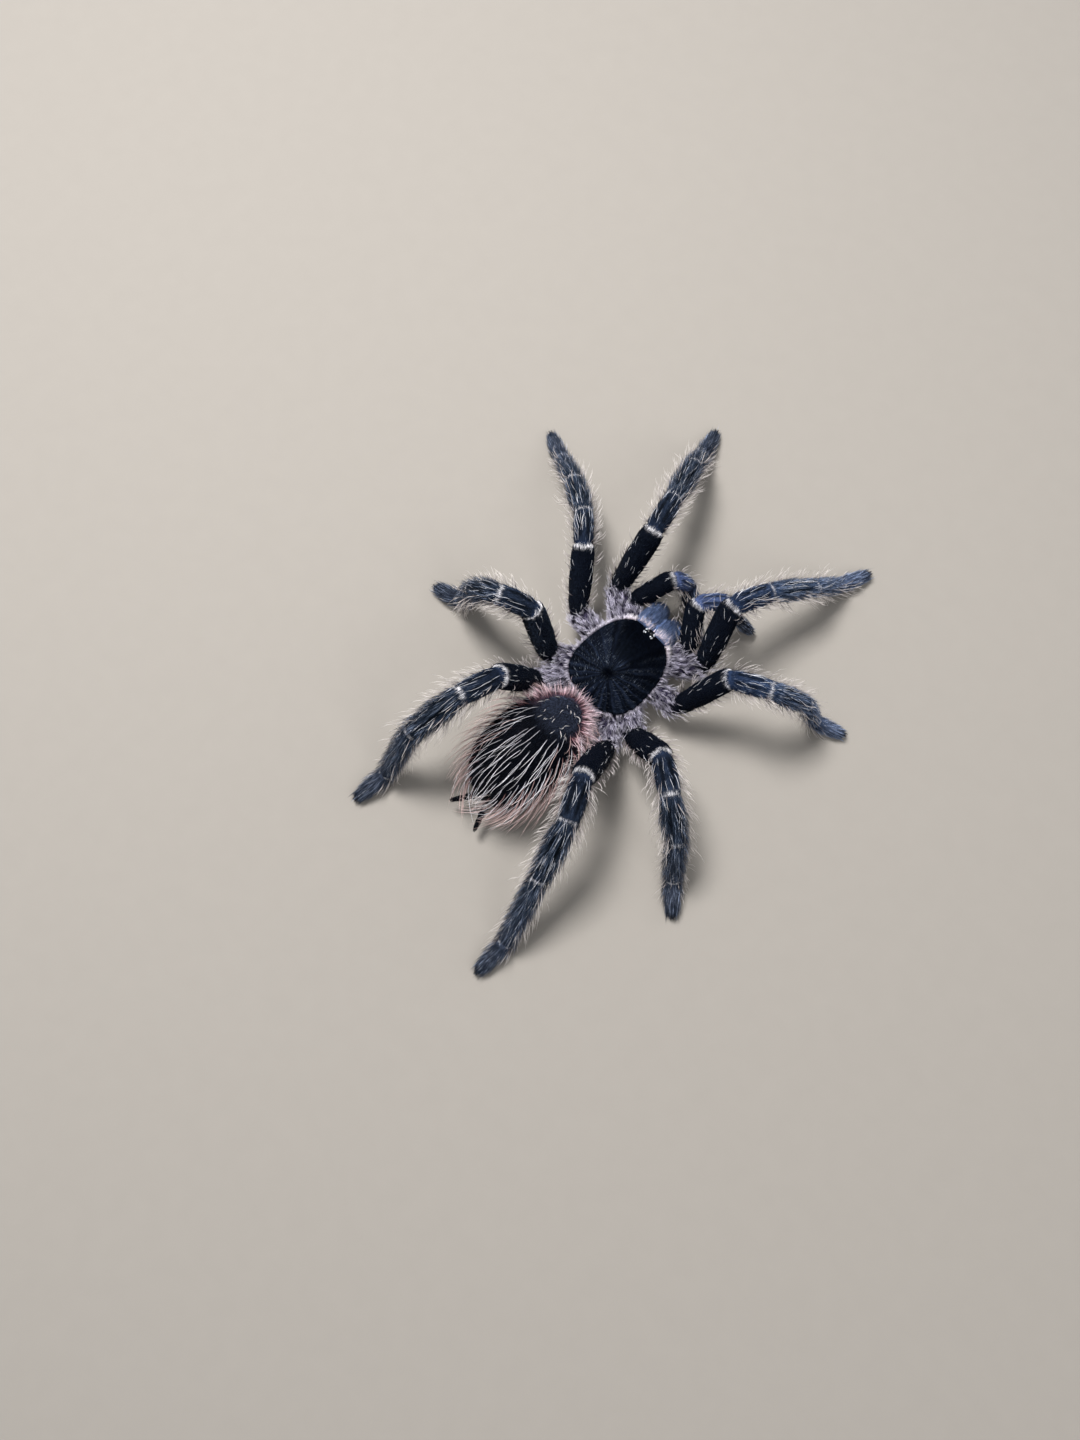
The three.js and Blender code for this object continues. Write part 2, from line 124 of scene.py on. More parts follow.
def unit(vectors):
    """The same directions, each with a length of one."""
    return vectors / np.maximum(np.linalg.norm(vectors, axis=-1, keepdims=True), 1e-9)

def ease(low, high, value):
    """0 below low, 1 above high and a smooth step between."""
    share = np.clip((value - low) / (high - low), 0, 1)
    return share * share * (3 - 2 * share)

def hump(rise_low, rise_high, fall_low, fall_high, value):
    """A smooth step from 0 to 1 and, further on, one back to 0."""
    return ease(rise_low, rise_high, value) * (1 - ease(fall_low, fall_high, value))

def read_knots(knots, position):
    """Values read from rows of a position and its values, eased from row to row."""
    table = np.array(knots, float)
    places = table[:, 0]
    before = np.clip(np.searchsorted(places, position) - 1, 0, len(places) - 2)
    share = ease(places[before], places[before + 1], position)[..., None]
    return table[before, 1:] * (1 - share) + table[before + 1, 1:] * share

def bent_line(corners, bend_radii):
    """Straight runs between corners, each inner corner rounded to its bend radius r: a bend
    through an angle a starts r tan(a / 2) before its corner. The line is kept as close points
    with their directions; joints are the distances of its ends and of each bend's middle."""
    corners = np.array(corners, float)
    runs = np.diff(corners, axis=0)
    lengths = np.linalg.norm(runs, axis=1)
    points, middles = [corners[0]], [0]
    for i, wanted in enumerate(bend_radii):
        before, after = runs[i] / lengths[i], runs[i + 1] / lengths[i + 1]
        angle = max(math.acos(np.clip(before @ after, -1, 1)), 0.01)
        trim = min(wanted * math.tan(angle / 2), 0.45 * min(lengths[i:i + 2]))
        radius = trim / math.tan(angle / 2)
        inward = unit(after - before * math.cos(angle))
        turn = np.linspace(0, angle, 9)[:, None]
        arc = np.sin(turn) * before + (1 - np.cos(turn)) * inward
        middles.append(len(points) + 4)
        points.extend(corners[i + 1] - trim * before + radius * arc)
    points = np.array(points + [corners[-1]])
    travelled = np.r_[0, np.cumsum(np.linalg.norm(np.diff(points, axis=0), axis=1))]
    distance = np.linspace(0, travelled[-1], int(travelled[-1] / 0.2) + 2)
    fine = np.stack([np.interp(distance, travelled, points[:, i]) for i in range(3)], -1)
    along = unit(np.gradient(fine, axis=0))
    return Line(distance, fine, along, travelled[middles + [-1]])

def line_frame(line, distance):
    """At distances along a line: the point, and the directions along, across and above it."""
    point, along = [
        np.stack([np.interp(distance, line.distance, values[:, i]) for i in range(3)], -1)
        for values in (line.point, line.along)
    ]
    across = unit(np.cross(along, UP))
    return point, unit(along), across, np.cross(across, unit(along))

# %% Surfaces
SKIN_FLOOR = 0.35       # nothing of the skin is lower than this: the sole's hairs are below it

def tube(line, radius_at, tip):
    """The surface round a line, by the distance along it and the turn round it, from across
    to above. Over its last stretch, tip, it closes in as the root of one minus the square of
    the share of the way."""
    end = line.distance[-1]
    def at(distance, turn):
        point, _, across, above = line_frame(line, distance)
        share = np.clip((distance - end + tip) / max(tip, 1e-6), 0, 0.999)
        radius = (radius_at(distance) * np.sqrt(1 - share ** 2))[..., None]
        turn = turn[..., None]
        points = point + radius * (np.cos(turn) * across + np.sin(turn) * above)
        points[..., 2] = np.maximum(points[..., 2], SKIN_FLOOR)
        return points
    return Patch(at, (0, end))

def knot_tube(corners, bend_radii, radii, tip):
    """A tube with its radii read from knots, by the share of its length."""
    line = bent_line(corners, bend_radii)
    end = line.distance[-1]
    return tube(line, lambda distance: read_knots(radii, distance / end)[..., 0], tip)

def ellipsoid(centre, half_sizes, turned=0.0):
    """An ellipsoid by the angle from its front pole to its rear pole and the turn round it.
    It may be turned about the upright, in radians."""
    def at(polar, turn):
        side, back, up = [
            half_sizes[0] * np.sin(polar) * np.cos(turn),
            -half_sizes[1] * np.cos(polar),
            half_sizes[2] * np.sin(polar) * np.sin(turn),
        ]
        x = side * math.cos(turned) - back * math.sin(turned)
        y = side * math.sin(turned) + back * math.cos(turned)
        return np.stack([x, y, up], -1) + centre
    return Patch(at, (0.02, math.pi - 0.02))

def small_steps(patch):
    """The steps along and round a surface that its slopes are measured over."""
    return 0.002 * (patch.u[1] - patch.u[0]), 0.004

def surface_frame(patch, u, v):
    """Points of a surface, and the directions along it, round it and out of it, from the
    difference between places a small step apart."""
    at, (small_u, small_v) = patch.at, small_steps(patch)
    along = unit(at(u + small_u, v) - at(u - small_u, v))
    around = unit(at(u, v + small_v) - at(u, v - small_v))
    return at(u, v), along, around, unit(np.cross(along, around))

# %% Meshes
def shell(patch, rows, columns, tint_at):
    """Points, triangles and tints of a closed surface: a grid that wraps round, with a fan
    over each end. tint_at gives a colour for every place of the grid."""
    u = np.linspace(*patch.u, rows)
    v = np.linspace(0, TURN, columns, endpoint=False)
    u, v = np.meshgrid(u, v, indexing="ij")
    points, tints = [np.concatenate([grid.reshape(-1, 3), grid[[0, -1]].mean(axis=1)])
                     for grid in (patch.at(u, v), tint_at(u, v))]
    here = np.arange(rows * columns).reshape(rows, columns)
    beside = np.roll(here, -1, axis=1)
    corners = [here[:-1], here[1:], beside[1:], beside[:-1]]
    sides = [np.stack([corners[0], corners[i], corners[i + 1]], -1).reshape(-1, 3) for i in (1, 2)]
    first, last = np.full(columns, rows * columns), np.full(columns, rows * columns + 1)
    fans = [np.stack([first, here[0], beside[0]], -1), np.stack([last, beside[-1], here[-1]], -1)]
    return points, np.concatenate(sides + fans), tints

def join(shells):
    """Several sets of points, triangles and tints as one set."""
    points, triangles, tints = zip(*shells)
    starts = np.cumsum([0] + [len(part) for part in points])
    triangles = [part + start for part, start in zip(triangles, starts)]
    return np.concatenate(points), np.concatenate(triangles), np.concatenate(tints)

def write_tint(mesh, tints):
    """Stores a colour for each point of a mesh, under the name that the finishes read."""
    layer = mesh.color_attributes.new("tint", "FLOAT_COLOR", "POINT")
    layer.data.foreach_set("color", np.c_[tints, np.ones(len(tints))].astype(np.float32).ravel())

def new_mesh(name, points, triangles, tints):
    """A mesh from arrays in millimetres, smooth, moved to the spider's place in the frame."""
    mesh = bpy.data.meshes.new(name)
    mesh.vertices.add(len(points))
    mesh.vertices.foreach_set("co", (MM * (points + BODY_PLACE)).astype(np.float32).ravel())
    mesh.loops.add(triangles.size)
    mesh.loops.foreach_set("vertex_index", triangles.astype(np.int32).ravel())
    mesh.polygons.add(len(triangles))
    mesh.polygons.foreach_set("loop_start", np.arange(0, triangles.size, 3, dtype=np.int32))
    mesh.update(calc_edges=True)
    mesh.shade_smooth()
    write_tint(mesh, tints)
    return mesh

def new_piece(name, mesh, finish, slot, *nodes):
    """A piece that rides on the only body and may replace nodes. slot is not used."""
    piece = put(name, mesh)
    mesh.materials.append(finish)
    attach(piece, "root")
    if nodes:
        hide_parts(*nodes)
    print(f"{name}: {len(mesh.polygons)} faces")

def new_solid(name, patch, size, tint_at, *looks_and_nodes):
    """A piece that is one closed surface, with so many rows and columns of points."""
    new_piece(name, new_mesh(name, *shell(patch, *size, tint_at)), *looks_and_nodes)

# %% [markdown]
# ## Finishes
# Every finish is a Principled shader. Markings could be mixed from masks inside it, but a
# hair then wouldn't know its place on the body. So the colour is a tint that the meshes
# carry, written on skin and hairs by the same functions, and a fine noise breaks it up. Dark
# hair gets a bluish gloss, the shell plate hardly any, eyes and fangs a clear coat.

# %% Helpers for the finishes
def linear(colour):
    """A colour written as six hex digits, as the linear values that shaders use."""
    parts = np.array([int(colour[i:i + 2], 16) for i in (0, 2, 4)]) / 255
    return np.where(parts <= 0.04045, parts / 12.92, ((parts + 0.055) / 1.055) ** 2.4)

def colours(root, tip):
    """The colours of a hair's root and tip."""
    return linear(root), linear(tip)

def tinted_finish(name, grain, contrast, bump, **sockets):
    """A finish: the tint times a noise with grains of so many millimetres, and a bump of the
    same grain. Sockets are set by their names, with _ for each space."""
    material = bpy.data.materials.new(name)
    material.use_nodes = True
    nodes, link = material.node_tree.nodes, material.node_tree.links.new
    shader = nodes["Principled BSDF"]
    kinds = ("Attribute", "TexCoord", "TexNoise", "MapRange", "VectorMath", "Bump")
    tint, place, noise, span, mix, relief = [nodes.new("ShaderNode" + kind) for kind in kinds]
    tint.attribute_name = "tint"
    mix.operation = "SCALE"
    settings = (
        (shader, sockets),
        (noise, {"Scale": 1 / (grain * MM), "Detail": 3}),
        (span, {"From_Min": 0.3, "From_Max": 0.7, "To_Min": 1 - contrast, "To_Max": 1 + contrast}),
        (relief, {"Distance": bump * MM}),
    )
    for node, values in settings:
        for socket, value in values.items():
            node.inputs[socket.replace("_", " ")].default_value = value
    link(place.outputs["Object"], noise.inputs["Vector"])
    link(noise.outputs["Fac"], span.inputs["Value"])
    link(tint.outputs["Color"], mix.inputs[0])
    link(span.outputs["Result"], mix.inputs["Scale"])
    link(mix.outputs["Vector"], shader.inputs["Base Color"])
    link(noise.outputs["Fac"], relief.inputs["Height"])
    link(relief.outputs["Normal"], shader.inputs["Normal"])
    print("finish:", name)
    return material

# %% The finishes and the floor
BLUE_SHEEN = (0.5, 0.68, 1.0, 1)
FLOOR_FINISH = tinted_finish("floor_card", 6, 0.01, 0.0, Roughness=0.9)
SKIN_FINISH = tinted_finish("skin", 0.5, 0.3, 0.2, Roughness=0.8, Specular_IOR_Level=0.05)
PLATE_FINISH = tinted_finish("shell_plate", 0.6, 0.35, 0.05, Roughness=0.6, Specular_IOR_Level=0.03,
                             Specular_Tint=BLUE_SHEEN)
VELVET_FINISH = tinted_finish("velvet_hair", 1.6, 0.25, 0.0, Roughness=0.4, Specular_IOR_Level=0.16,
                              Specular_Tint=BLUE_SHEEN)
NAP_FINISH = tinted_finish("nap_hair", 0.9, 0.4, 0.0, Roughness=0.6, Specular_IOR_Level=0.03,
                           Specular_Tint=BLUE_SHEEN)
WOOL_FINISH = tinted_finish("pale_hair", 1.5, 0.12, 0.0, Roughness=0.5, Specular_IOR_Level=0.4)
HORN_FINISH = tinted_finish("fang_horn", 0.8, 0.2, 0.02, Roughness=0.22, Coat_Weight=0.6)
EYE_FINISH = tinted_finish("eye_gloss", 0.3, 0.1, 0.0, Roughness=0.06, Coat_Weight=1.0)

FLOOR_HALF = 2500       # millimetres: a pale card, much wider than the view
floor_points = FLOOR_HALF * np.array([[-1, -1, 0], [1, -1, 0], [1, 1, 0], [-1, 1, 0]], float)
floor_mesh = new_mesh("floor", floor_points, np.array([[0, 1, 2], [0, 2, 3]]),
                      np.tile(linear("918b84"), (4, 1)))
floor_mesh.materials.append(FLOOR_FINISH)
put("floor", floor_mesh)

# %% [markdown]
# ## The limbs
# A spider of this kind has four pairs of legs and, in front of them, a pair of palps. Each is
# a chain of joints: coxa, femur, patella, tibia, metatarsus and tarsus, with no metatarsus on
# a palp. Bones could pose them, but the model stays still, so lengths and angles are enough:
# the same ones that the solids have. Everything on a limb is then told by its joint number
# plus the share of that joint, so that 2.5 is the middle of the patella on each limb.

# %% Lengths and stance
SOLE_HEIGHT = 1.2       # a limb's tip: height of its centre line over the ground
HEEL_HEIGHT = 2.8       # the same at the start of its last joint
HIP_BEND, KNEE_BEND = 3.1, 3.4

LIMB_KINDS = {      # girth, root, hip, and the lengths of the joints from the femur on
    "palp": (0.84, [2.3, -8.6, 6.9], [10, -15.5, 8.8], [13.5, 8, 9.5, 8.5]),
    "leg1": (1, [4.3, -6.2, 7.1], [15.5, -15.5, 8.5], [20, 12.5, 15.5, 14, 9.5]),
    "leg2": (0.96, [5.3, -2.1, 7.2], [18, -3, 8.5], [18.5, 10.5, 14, 14, 9]),
    "leg3": (1.04, [5.1, 2.3, 7.2], [15, 10.5, 8.5], [17, 10, 13, 16, 9.5]),
    "leg4": (1.06, [3.8, 6.4, 7.1], [12.5, 17.5, 8.5], [20.5, 11.5, 17, 22, 10.5]),
}

# Headings: 0 is straight ahead, 90 straight out to the limb's own side, 180 straight back.
# Rises are above level; a joint with none reaches for the height of the heel or the sole.
STANCE = {
    ("palp", "left"): ([-25, -38, -108, -130], [36, -57]),
    ("palp", "right"): ([-36, 42, 68, 70], [31, 0, -68]),
    ("leg1", "left"): ([5, 16, 17, 17, 17], [50, -18, -23]),
    ("leg1", "right"): ([-20, 20, 30, 22, 22], [48, -20, -26]),
    ("leg2", "left"): ([40, 44, 55, 62, 65], [40, -12, -28]),
    ("leg2", "right"): ([25, 65, 54, 62, 68], [48, 12, -38]),
    ("leg3", "left"): ([74, 118, 104, 104, 106], [57, 32, -48]),
    ("leg3", "right"): ([98, 125, 124, 131, 137], [54, 8, -34]),
    ("leg4", "left"): ([154, 167, 166, 175, 174], [61, 20, -30]),
    ("leg4", "right"): ([168, 154, 163, 164, 180], [54, -6, -26]),
}

# Painted light: these limbs keep the full slate tone and get more painted glints, as if lit. All other limbs
# are darkened past the femur as painted shade.
PAINTED_LIT_LIMBS = {("palp", "left"), ("palp", "right"), ("leg1", "right"), ("leg2", "right")}

# Radius of a first leg's skin, by joint number plus share: it narrows at every joint.
LIMB_RADII = [
    [0.0, 1.9], [0.35, 2.5], [0.7, 2.75], [0.92, 2.75], [1.02, 2.3], [1.2, 2.8], [1.5, 3.15],
    [1.86, 3.15], [1.97, 2.95], [2.03, 2.3], [2.2, 2.6], [2.6, 2.7], [2.9, 2.5], [3.0, 2.35],
    [3.15, 2.4], [3.4, 2.5], [3.88, 2.15], [4.0, 1.98], [4.12, 2.0], [4.5, 1.98], [4.92, 1.88],
    [5.0, 1.8], [5.15, 1.85], [5.55, 1.68], [5.85, 1.4], [6.0, 1.05],
]

# %% Build the limbs
def limb_corners(kind, side_name):
    """The corners of a limb's line: its root, its hip, the end of each joint and its tip."""
    side = SIDES[side_name]
    _, root, hip, lengths = LIMB_KINDS[kind]
    headings, rises = STANCE[kind, side_name]
    corners = [np.array(place) * (side, 1, 1) for place in (root, hip)]
    for i, length in enumerate(lengths):
        height = SOLE_HEIGHT if i == len(lengths) - 1 else HEEL_HEIGHT
        reach = math.asin((height - corners[-1][2]) / length) if i >= len(rises) else 0
        rise = math.radians(rises[i]) if i < len(rises) else reach
        heading = math.radians(headings[i])
        step = [side * math.cos(rise) * math.sin(heading),
                -math.cos(rise) * math.cos(heading), math.sin(rise)]
        corners.append(corners[-1] + length * np.array(step))
    return corners

def make_limb(kind, side_name):
    """A limb: its line, its surface, and its joint number at a distance and back."""
    girth, corners = LIMB_KINDS[kind][0], limb_corners(kind, side_name)
    line = bent_line(corners, [girth * HIP_BEND] + [girth * KNEE_BEND] * (len(corners) - 3))
    joints, numbers = line.joints, np.arange(7.0)
    if kind == "palp":
        joints = np.insert(joints, 5, joints[4] + 0.001)
    number_at = lambda distance: np.interp(distance, joints, numbers)
    radius_at = lambda distance: girth * read_knots(LIMB_RADII, number_at(distance))[..., 0]
    print(kind, side_name, "joints at", joints.round(1))
    return SimpleNamespace(
        kind=kind, side=side_name, girth=girth, line=line, joints=joints,
        number=number_at, distance=lambda number: np.interp(number, numbers, joints),
        slate=(kind, side_name) in PAINTED_LIT_LIMBS, patch=tube(line, radius_at, tip=1.6 * girth),
    )

LIMBS = [make_limb(kind, side_name) for kind, side_name in STANCE]
BY_SIDE = {side_name: [limb for limb in LIMBS if limb.side == side_name] for side_name in SIDES}

# %% [markdown]
# ## The colours of the skin and coat
# The coxae are lavender grey, the femora deep black, and from the patella outwards the black
# turns bluer and a little paler. The end of each joint has a white ring, the widest on the
# femur. Each zone could have a material of its own, but the borders would be hard lines.
# One function blends them, and the skin, the velvet and the longer hair all ask it.

# %% Colours along a limb
RING_TONE = linear("f3f0f2")
# Painted shade: the share and hue that darken all limbs but the painted-lit ones, past the femur.
PAINTED_SHADE, PAINTED_SHADE_HUE = 0.56, [1.1, 1.0, 0.88]  # of all limbs but the slate ones, past the femur
RINGS = {2: 0.21, 3: 0.14, 4: 0.12, 5: 0.1}    # millimetres wide, by the joint that starts there

def tones(*rows):
    """Rows of a joint number and a hex colour, as rows of the number and linear values."""
    return [[place, *linear(colour)] for place, colour in rows]

# The first three rows, on the coxae, are darkened as painted shade that shows in the gaps between the locks
# of wool.
LEG_TONES = tones(
    (0.0, "1d1a27"), (0.86, "292536"), (0.97, "14131b"), (1.06, "060912"), (1.95, "070b15"),
    (2.05, "232f47"), (2.9, "303e58"), (3.2, "29384f"), (3.9, "303f58"), (4.4, "3a4861"),
    (5.0, "434f68"), (5.4, "49546c"), (6.0, "2d394f"),
)
# On the palps the patella is its own slate blue made paler as painted light, and from the tibia on the tone
# is darkened as painted shadow cast by the first legs.
PALP_TONES = LEG_TONES[:5] + tones(
    (2.08, "4d5b82"), (2.75, "54648c"), (3.1, "252f45"), (3.4, "121723"), (6.0, "0e121c"),
)

def ring_share(limb, distance, turn):
    """How far a place is inside a white ring: 1 in the last stretch before a joint, except
    on the underside, and thinner along the top."""
    share = np.zeros(np.shape(distance))
    for number, width in RINGS.items():
        if limb.kind == "palp" and number == 5:
            continue
        before = limb.distance(number) - 0.15 - distance
        before = before + 0.14 * np.cos(2 * turn) + 0.05 * np.sin(9 * turn + 5 * number)
        width = limb.girth * width * (0.5 + 1.0 * np.abs(np.cos(turn)) ** 2)
        share = np.maximum(share, hump(-0.12, 0.0, width, width + 0.12, before))
    return share * ease(-0.5, 0.1, np.sin(turn))

def stripe_share(number, turn):
    """1 on the two nearly bare dark lines along the top of patella and tibia."""
    away = np.abs(np.abs(turn - TURN / 4) - 0.45)
    ends = hump(2.08, 2.2, 2.8, 2.92, number) + hump(3.08, 3.2, 3.75, 3.9, number)
    return (1 - ease(0.1, 0.26, away)) * ends

def limb_tone(limb, number, turn):
    """The colour of a limb's coat along its joints, with painted shade past the femur on all limbs but the
    painted-lit ones.
    """
    tone = read_knots(PALP_TONES if limb.kind == "palp" else LEG_TONES, number)
    tone = tone * (1 - 0.8 * stripe_share(number, turn))[..., None]
    if limb.slate:
        return tone
    return tone + ease(1.95, 2.1, number)[..., None] * (tone * PAINTED_SHADE * PAINTED_SHADE_HUE - tone)

def limb_tint(limb, distance, turn):
    """The colour of a limb's coat: its tone along the joints, with the white rings."""
    tone = limb_tone(limb, limb.number(distance), turn)
    ring = ring_share(limb, distance, turn)[..., None]
    return tone * (1 - ring) + RING_TONE * ring

# %% [markdown]
# ## The body under the coat
# Head and chest are covered by the shell plate above and a small breastplate below, and the
# coxae fill the space between. The abdomen is an egg on a narrow waist, with two long
# spinnerets like fingers. The jaws hang in front, each with a fang that folds down under it.
# Scaled balls would do for a rough model. Profiles along bent lines are used, because they
# set every swelling and narrow place in millimetres.

# %% Jaws, spinnerets and body
JAW_LINE = [[2.95, -11.6, 10.9], [2.85, -16.6, 10.1], [2.6, -17.9, 5.2]]
JAW_REACH = {"left": 1.5, "right": 0.2}     # how much further forward than that each one is
JAW_RADII = [[0, 2.6], [0.25, 2.85], [0.5, 2.85], [0.75, 2.45], [0.92, 1.9], [1, 1.2]]
SPINNERET_LINES = {
    "left": [[1.9, 46.0, 7.6], [2.6, 49.4, 6.4], [4.2, 52.0, 5.8], [6.6, 55.4, 5.2]],
    "right": [[-0.6, 46.4, 7.4], [-1.2, 49.9, 6.2], [-2.0, 52.6, 5.4], [-3.4, 56.6, 4.4]],
}
SPINNERET_RADII = [[0, 1.0], [0.42, 1.02], [0.48, 0.85], [0.55, 0.95], [0.68, 0.72],
                   [0.72, 0.8], [0.92, 0.62], [1, 0.42]]
ABDOMEN_START, ABDOMEN_LENGTH = 14.1, 35.4
HALF_WIDTH, HALF_HEIGHT, MIDDLE_HEIGHT = 11.3, 9.0, 12.8
EGG_SKEW, EGG_FULLNESS = 1.16, 2.4      # widest behind the middle, and fuller than an ellipse
END_DIP, BACK_DIP, BELLY_FLATNESS = 2, 1.2, 0.92
ABDOMEN_SWING = math.radians(2)         # to the left

def jaw_corners(corners, side_name, first):
    """Corners on one side, moved forward by its jaw's reach from the given one on."""
    return [(SIDES[side_name] * x, y - (i >= first) * JAW_REACH[side_name], z)
            for i, (x, y, z) in enumerate(corners)]

def abdomen_at(share, turn):
    """The egg of the abdomen. Its rings are as wide as the root of one minus a power of the
    distance from the middle, its centre line dips to both ends, and its belly is flatter."""
    along = 0.5 - 0.5 * np.cos(math.pi * share)
    swell = np.sqrt(np.clip(1 - np.abs(2 * along ** EGG_SKEW - 1) ** EGG_FULLNESS, 1e-6, 1))
    offset = 2 * along - 1
    height = MIDDLE_HEIGHT - END_DIP * offset ** 2 - BACK_DIP * offset
    belly = np.where(np.sin(turn) < 0, BELLY_FLATNESS, 1.0)
    x = HALF_WIDTH * swell * np.cos(turn)
    y = ABDOMEN_LENGTH * along
    z = height + HALF_HEIGHT * swell * belly * np.sin(turn)
    across = x * math.cos(ABDOMEN_SWING) + y * math.sin(ABDOMEN_SWING)
    back = y * math.cos(ABDOMEN_SWING) - x * math.sin(ABDOMEN_SWING) + ABDOMEN_START
    return np.stack([across, back, z], -1)

ABDOMEN_PATCH = Patch(abdomen_at, (0.01, 0.99))
JAWS = [knot_tube(jaw_corners(JAW_LINE, name, 1), [3.6], JAW_RADII, 1.0) for name in SIDES]
SPINNERETS = [knot_tube(SPINNERET_LINES[name], [4, 4], SPINNERET_RADII, 0.5) for name in SIDES]
BREASTPLATE = ellipsoid([0, -0.6, 7.6], [5.2, 7.8, 2.0])
CHEST = ellipsoid([0, -0.3, 8.6], [10.9, 12.4, 2.0])
LIP = ellipsoid([0, -9.2, 6.3], [1.5, 1.7, 0.9])
WAIST = tube(bent_line([[0, 7.5, 8.4], [0, 16.5, 9.4]], []), lambda d: 1.5 + 0 * d, tip=0.0)
print("length of the jaws, in millimetres:", [round(jaw.u[1], 1) for jaw in JAWS])

# %% Colours of the body
JAW_TONE, JAW_PALE = linear("48597c"), linear("a3b1d2")
ABDOMEN_TONE, BRISTLE_PATCH_TONE = linear("05060c"), linear("191c26")
RIM_TONE, BELLY_TONE, CHEST_TONE = linear("44323a"), linear("17120f"), linear("1f1b28")

# The round patch of bristles: its middle and half length as shares, its half width as a turn.
PATCH_MIDDLE, PATCH_HALF_LENGTH, PATCH_HALF_TURN = 0.27, 0.15, 0.75

def plain(tone):
    """A colour function for a piece of one tone."""
    return lambda u, v: np.broadcast_to(tone, np.shape(u) + (3,))

def jaw_tint(distance, turn):
    """Slate blue, with paler streaks along the jaw."""
    streak = 0.5 + 0.5 * np.sin(turn * 23 + 2 * np.sin(turn * 7) + 0.6 * distance)
    return JAW_TONE + streak[..., None] * 0.2 * (JAW_PALE - JAW_TONE)

def patch_distance(share, turn):
    """How far a place is from the middle of the patch of bristles: about 1 at its edge."""
    return np.hypot((share - PATCH_MIDDLE) / PATCH_HALF_LENGTH,
                    (np.mod(turn, TURN) - TURN / 4) / PATCH_HALF_TURN)

def front_patch_share(share, turn):
    """1 on the patch of short stiff bristles."""
    return 1 - ease(0.65, 1.15, patch_distance(share, turn))

def rim_share(share, turn):
    """1 on the red band, which goes round the front end and the sides of the patch."""
    cap = (1 - ease(0.1, 0.2, share)) * ease(-0.95, -0.4, np.sin(turn))
    around = hump(0.85, 1.1, 1.7, 2.3, patch_distance(share, turn))
    return np.maximum(cap, around * (1 - ease(0.3, 0.38, share)))

def abdomen_tint(share, turn):
    """Black, greyer on the bristle patch, red round the front end and brown below."""
    turn = np.mod(turn, TURN)
    tone = np.broadcast_to(ABDOMEN_TONE, np.shape(share) + (3,))
    for amount, other in ((1 - ease(-0.7, -0.2, np.sin(turn)), BELLY_TONE),
                          (rim_share(share, turn), RIM_TONE),
                          (front_patch_share(share, turn), BRISTLE_PATCH_TONE)):
        tone = tone + amount[..., None] * (other - tone)
    return tone

# %% [markdown]
# ## One skin
# The parts of the body are closed surfaces that run into each other. Booleans could join
# them, but leave a sharp seam round every leg. A voxel remesh turns them into one skin with
# no seams, and smoothing rounds off where they meet. The remesh drops the tints, so Data
# Transfer brings them back. This skin stands for all the solids of flesh.

# %% Make the skin
VOXEL = 0.465
SMOOTH_ROUNDS = 6

def evaluated_mesh(piece, name):
    """A new mesh with the modifiers of a piece carried out."""
    piece = piece.evaluated_get(bpy.context.evaluated_depsgraph_get())
    mesh = bpy.data.meshes.new_from_object(piece)
    mesh.name = name
    return mesh

def make_skin(nodes):
    """The skin of the whole spider, replacing the nodes of flesh."""
    parts = [shell(limb.patch, int(2.2 * limb.joints[-1]), 26,
                   lambda u, v: limb_tint(limb, u, v)) for limb in LIMBS]
    parts += [shell(patch, 44, 36, jaw_tint) for patch in JAWS]
    parts += [shell(patch, 40, 16, plain(ABDOMEN_TONE)) for patch in SPINNERETS]
    parts += [shell(ABDOMEN_PATCH, 90, 72, abdomen_tint), shell(WAIST, 20, 20, plain(CHEST_TONE)),
              shell(CHEST, 40, 40, plain(CHEST_TONE)), shell(BREASTPLATE, 40, 40, plain(BELLY_TONE)),
              shell(LIP, 20, 20, plain(BELLY_TONE))]
    source = put("skin_source", new_mesh("skin_source", *join(parts)))
    draft = put("skin_draft", source.data.copy())
    remesh = draft.modifiers.new("one_surface", "REMESH")
    remesh.mode = "VOXEL"
    remesh.voxel_size = VOXEL * MM
    draft.modifiers.new("round_off", "SMOOTH").iterations = SMOOTH_ROUNDS
    draft.data = evaluated_mesh(draft, "skin_smooth")
    draft.modifiers.clear()
    write_tint(draft.data, np.zeros((len(draft.data.vertices), 3)))
    transfer = draft.modifiers.new("tints", "DATA_TRANSFER")
    transfer.object = source
    transfer.use_vert_data = True
    transfer.data_types_verts = {"COLOR_VERTEX"}
    transfer.vert_mapping = "POLYINTERP_NEAREST"
    mesh = evaluated_mesh(draft, "skin")
    mesh.shade_smooth()
    bpy.data.objects.remove(draft)
    bpy.data.objects.remove(source)
    new_piece("skin", mesh, SKIN_FINISH, "limb_velvet", *nodes)

make_skin([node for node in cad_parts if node.split("_")[0] not in ("carapace", "eye", "fang")])

# %% [markdown]
# ## The shell plate
# The plate over the head and chest is a low dome with a turned rim. A cross-wise pit lies
# behind its middle, shallow grooves run out from the pit like spokes, two deeper ones mark
# off the head, and the eyes share a small mound behind the front edge. A bump in the finish
# could stand for the grooves, but the hairs on top have to follow them, so they are in the
# form. It is one closed surface in polar form, from the middle of the top over the rim to the
# middle below.

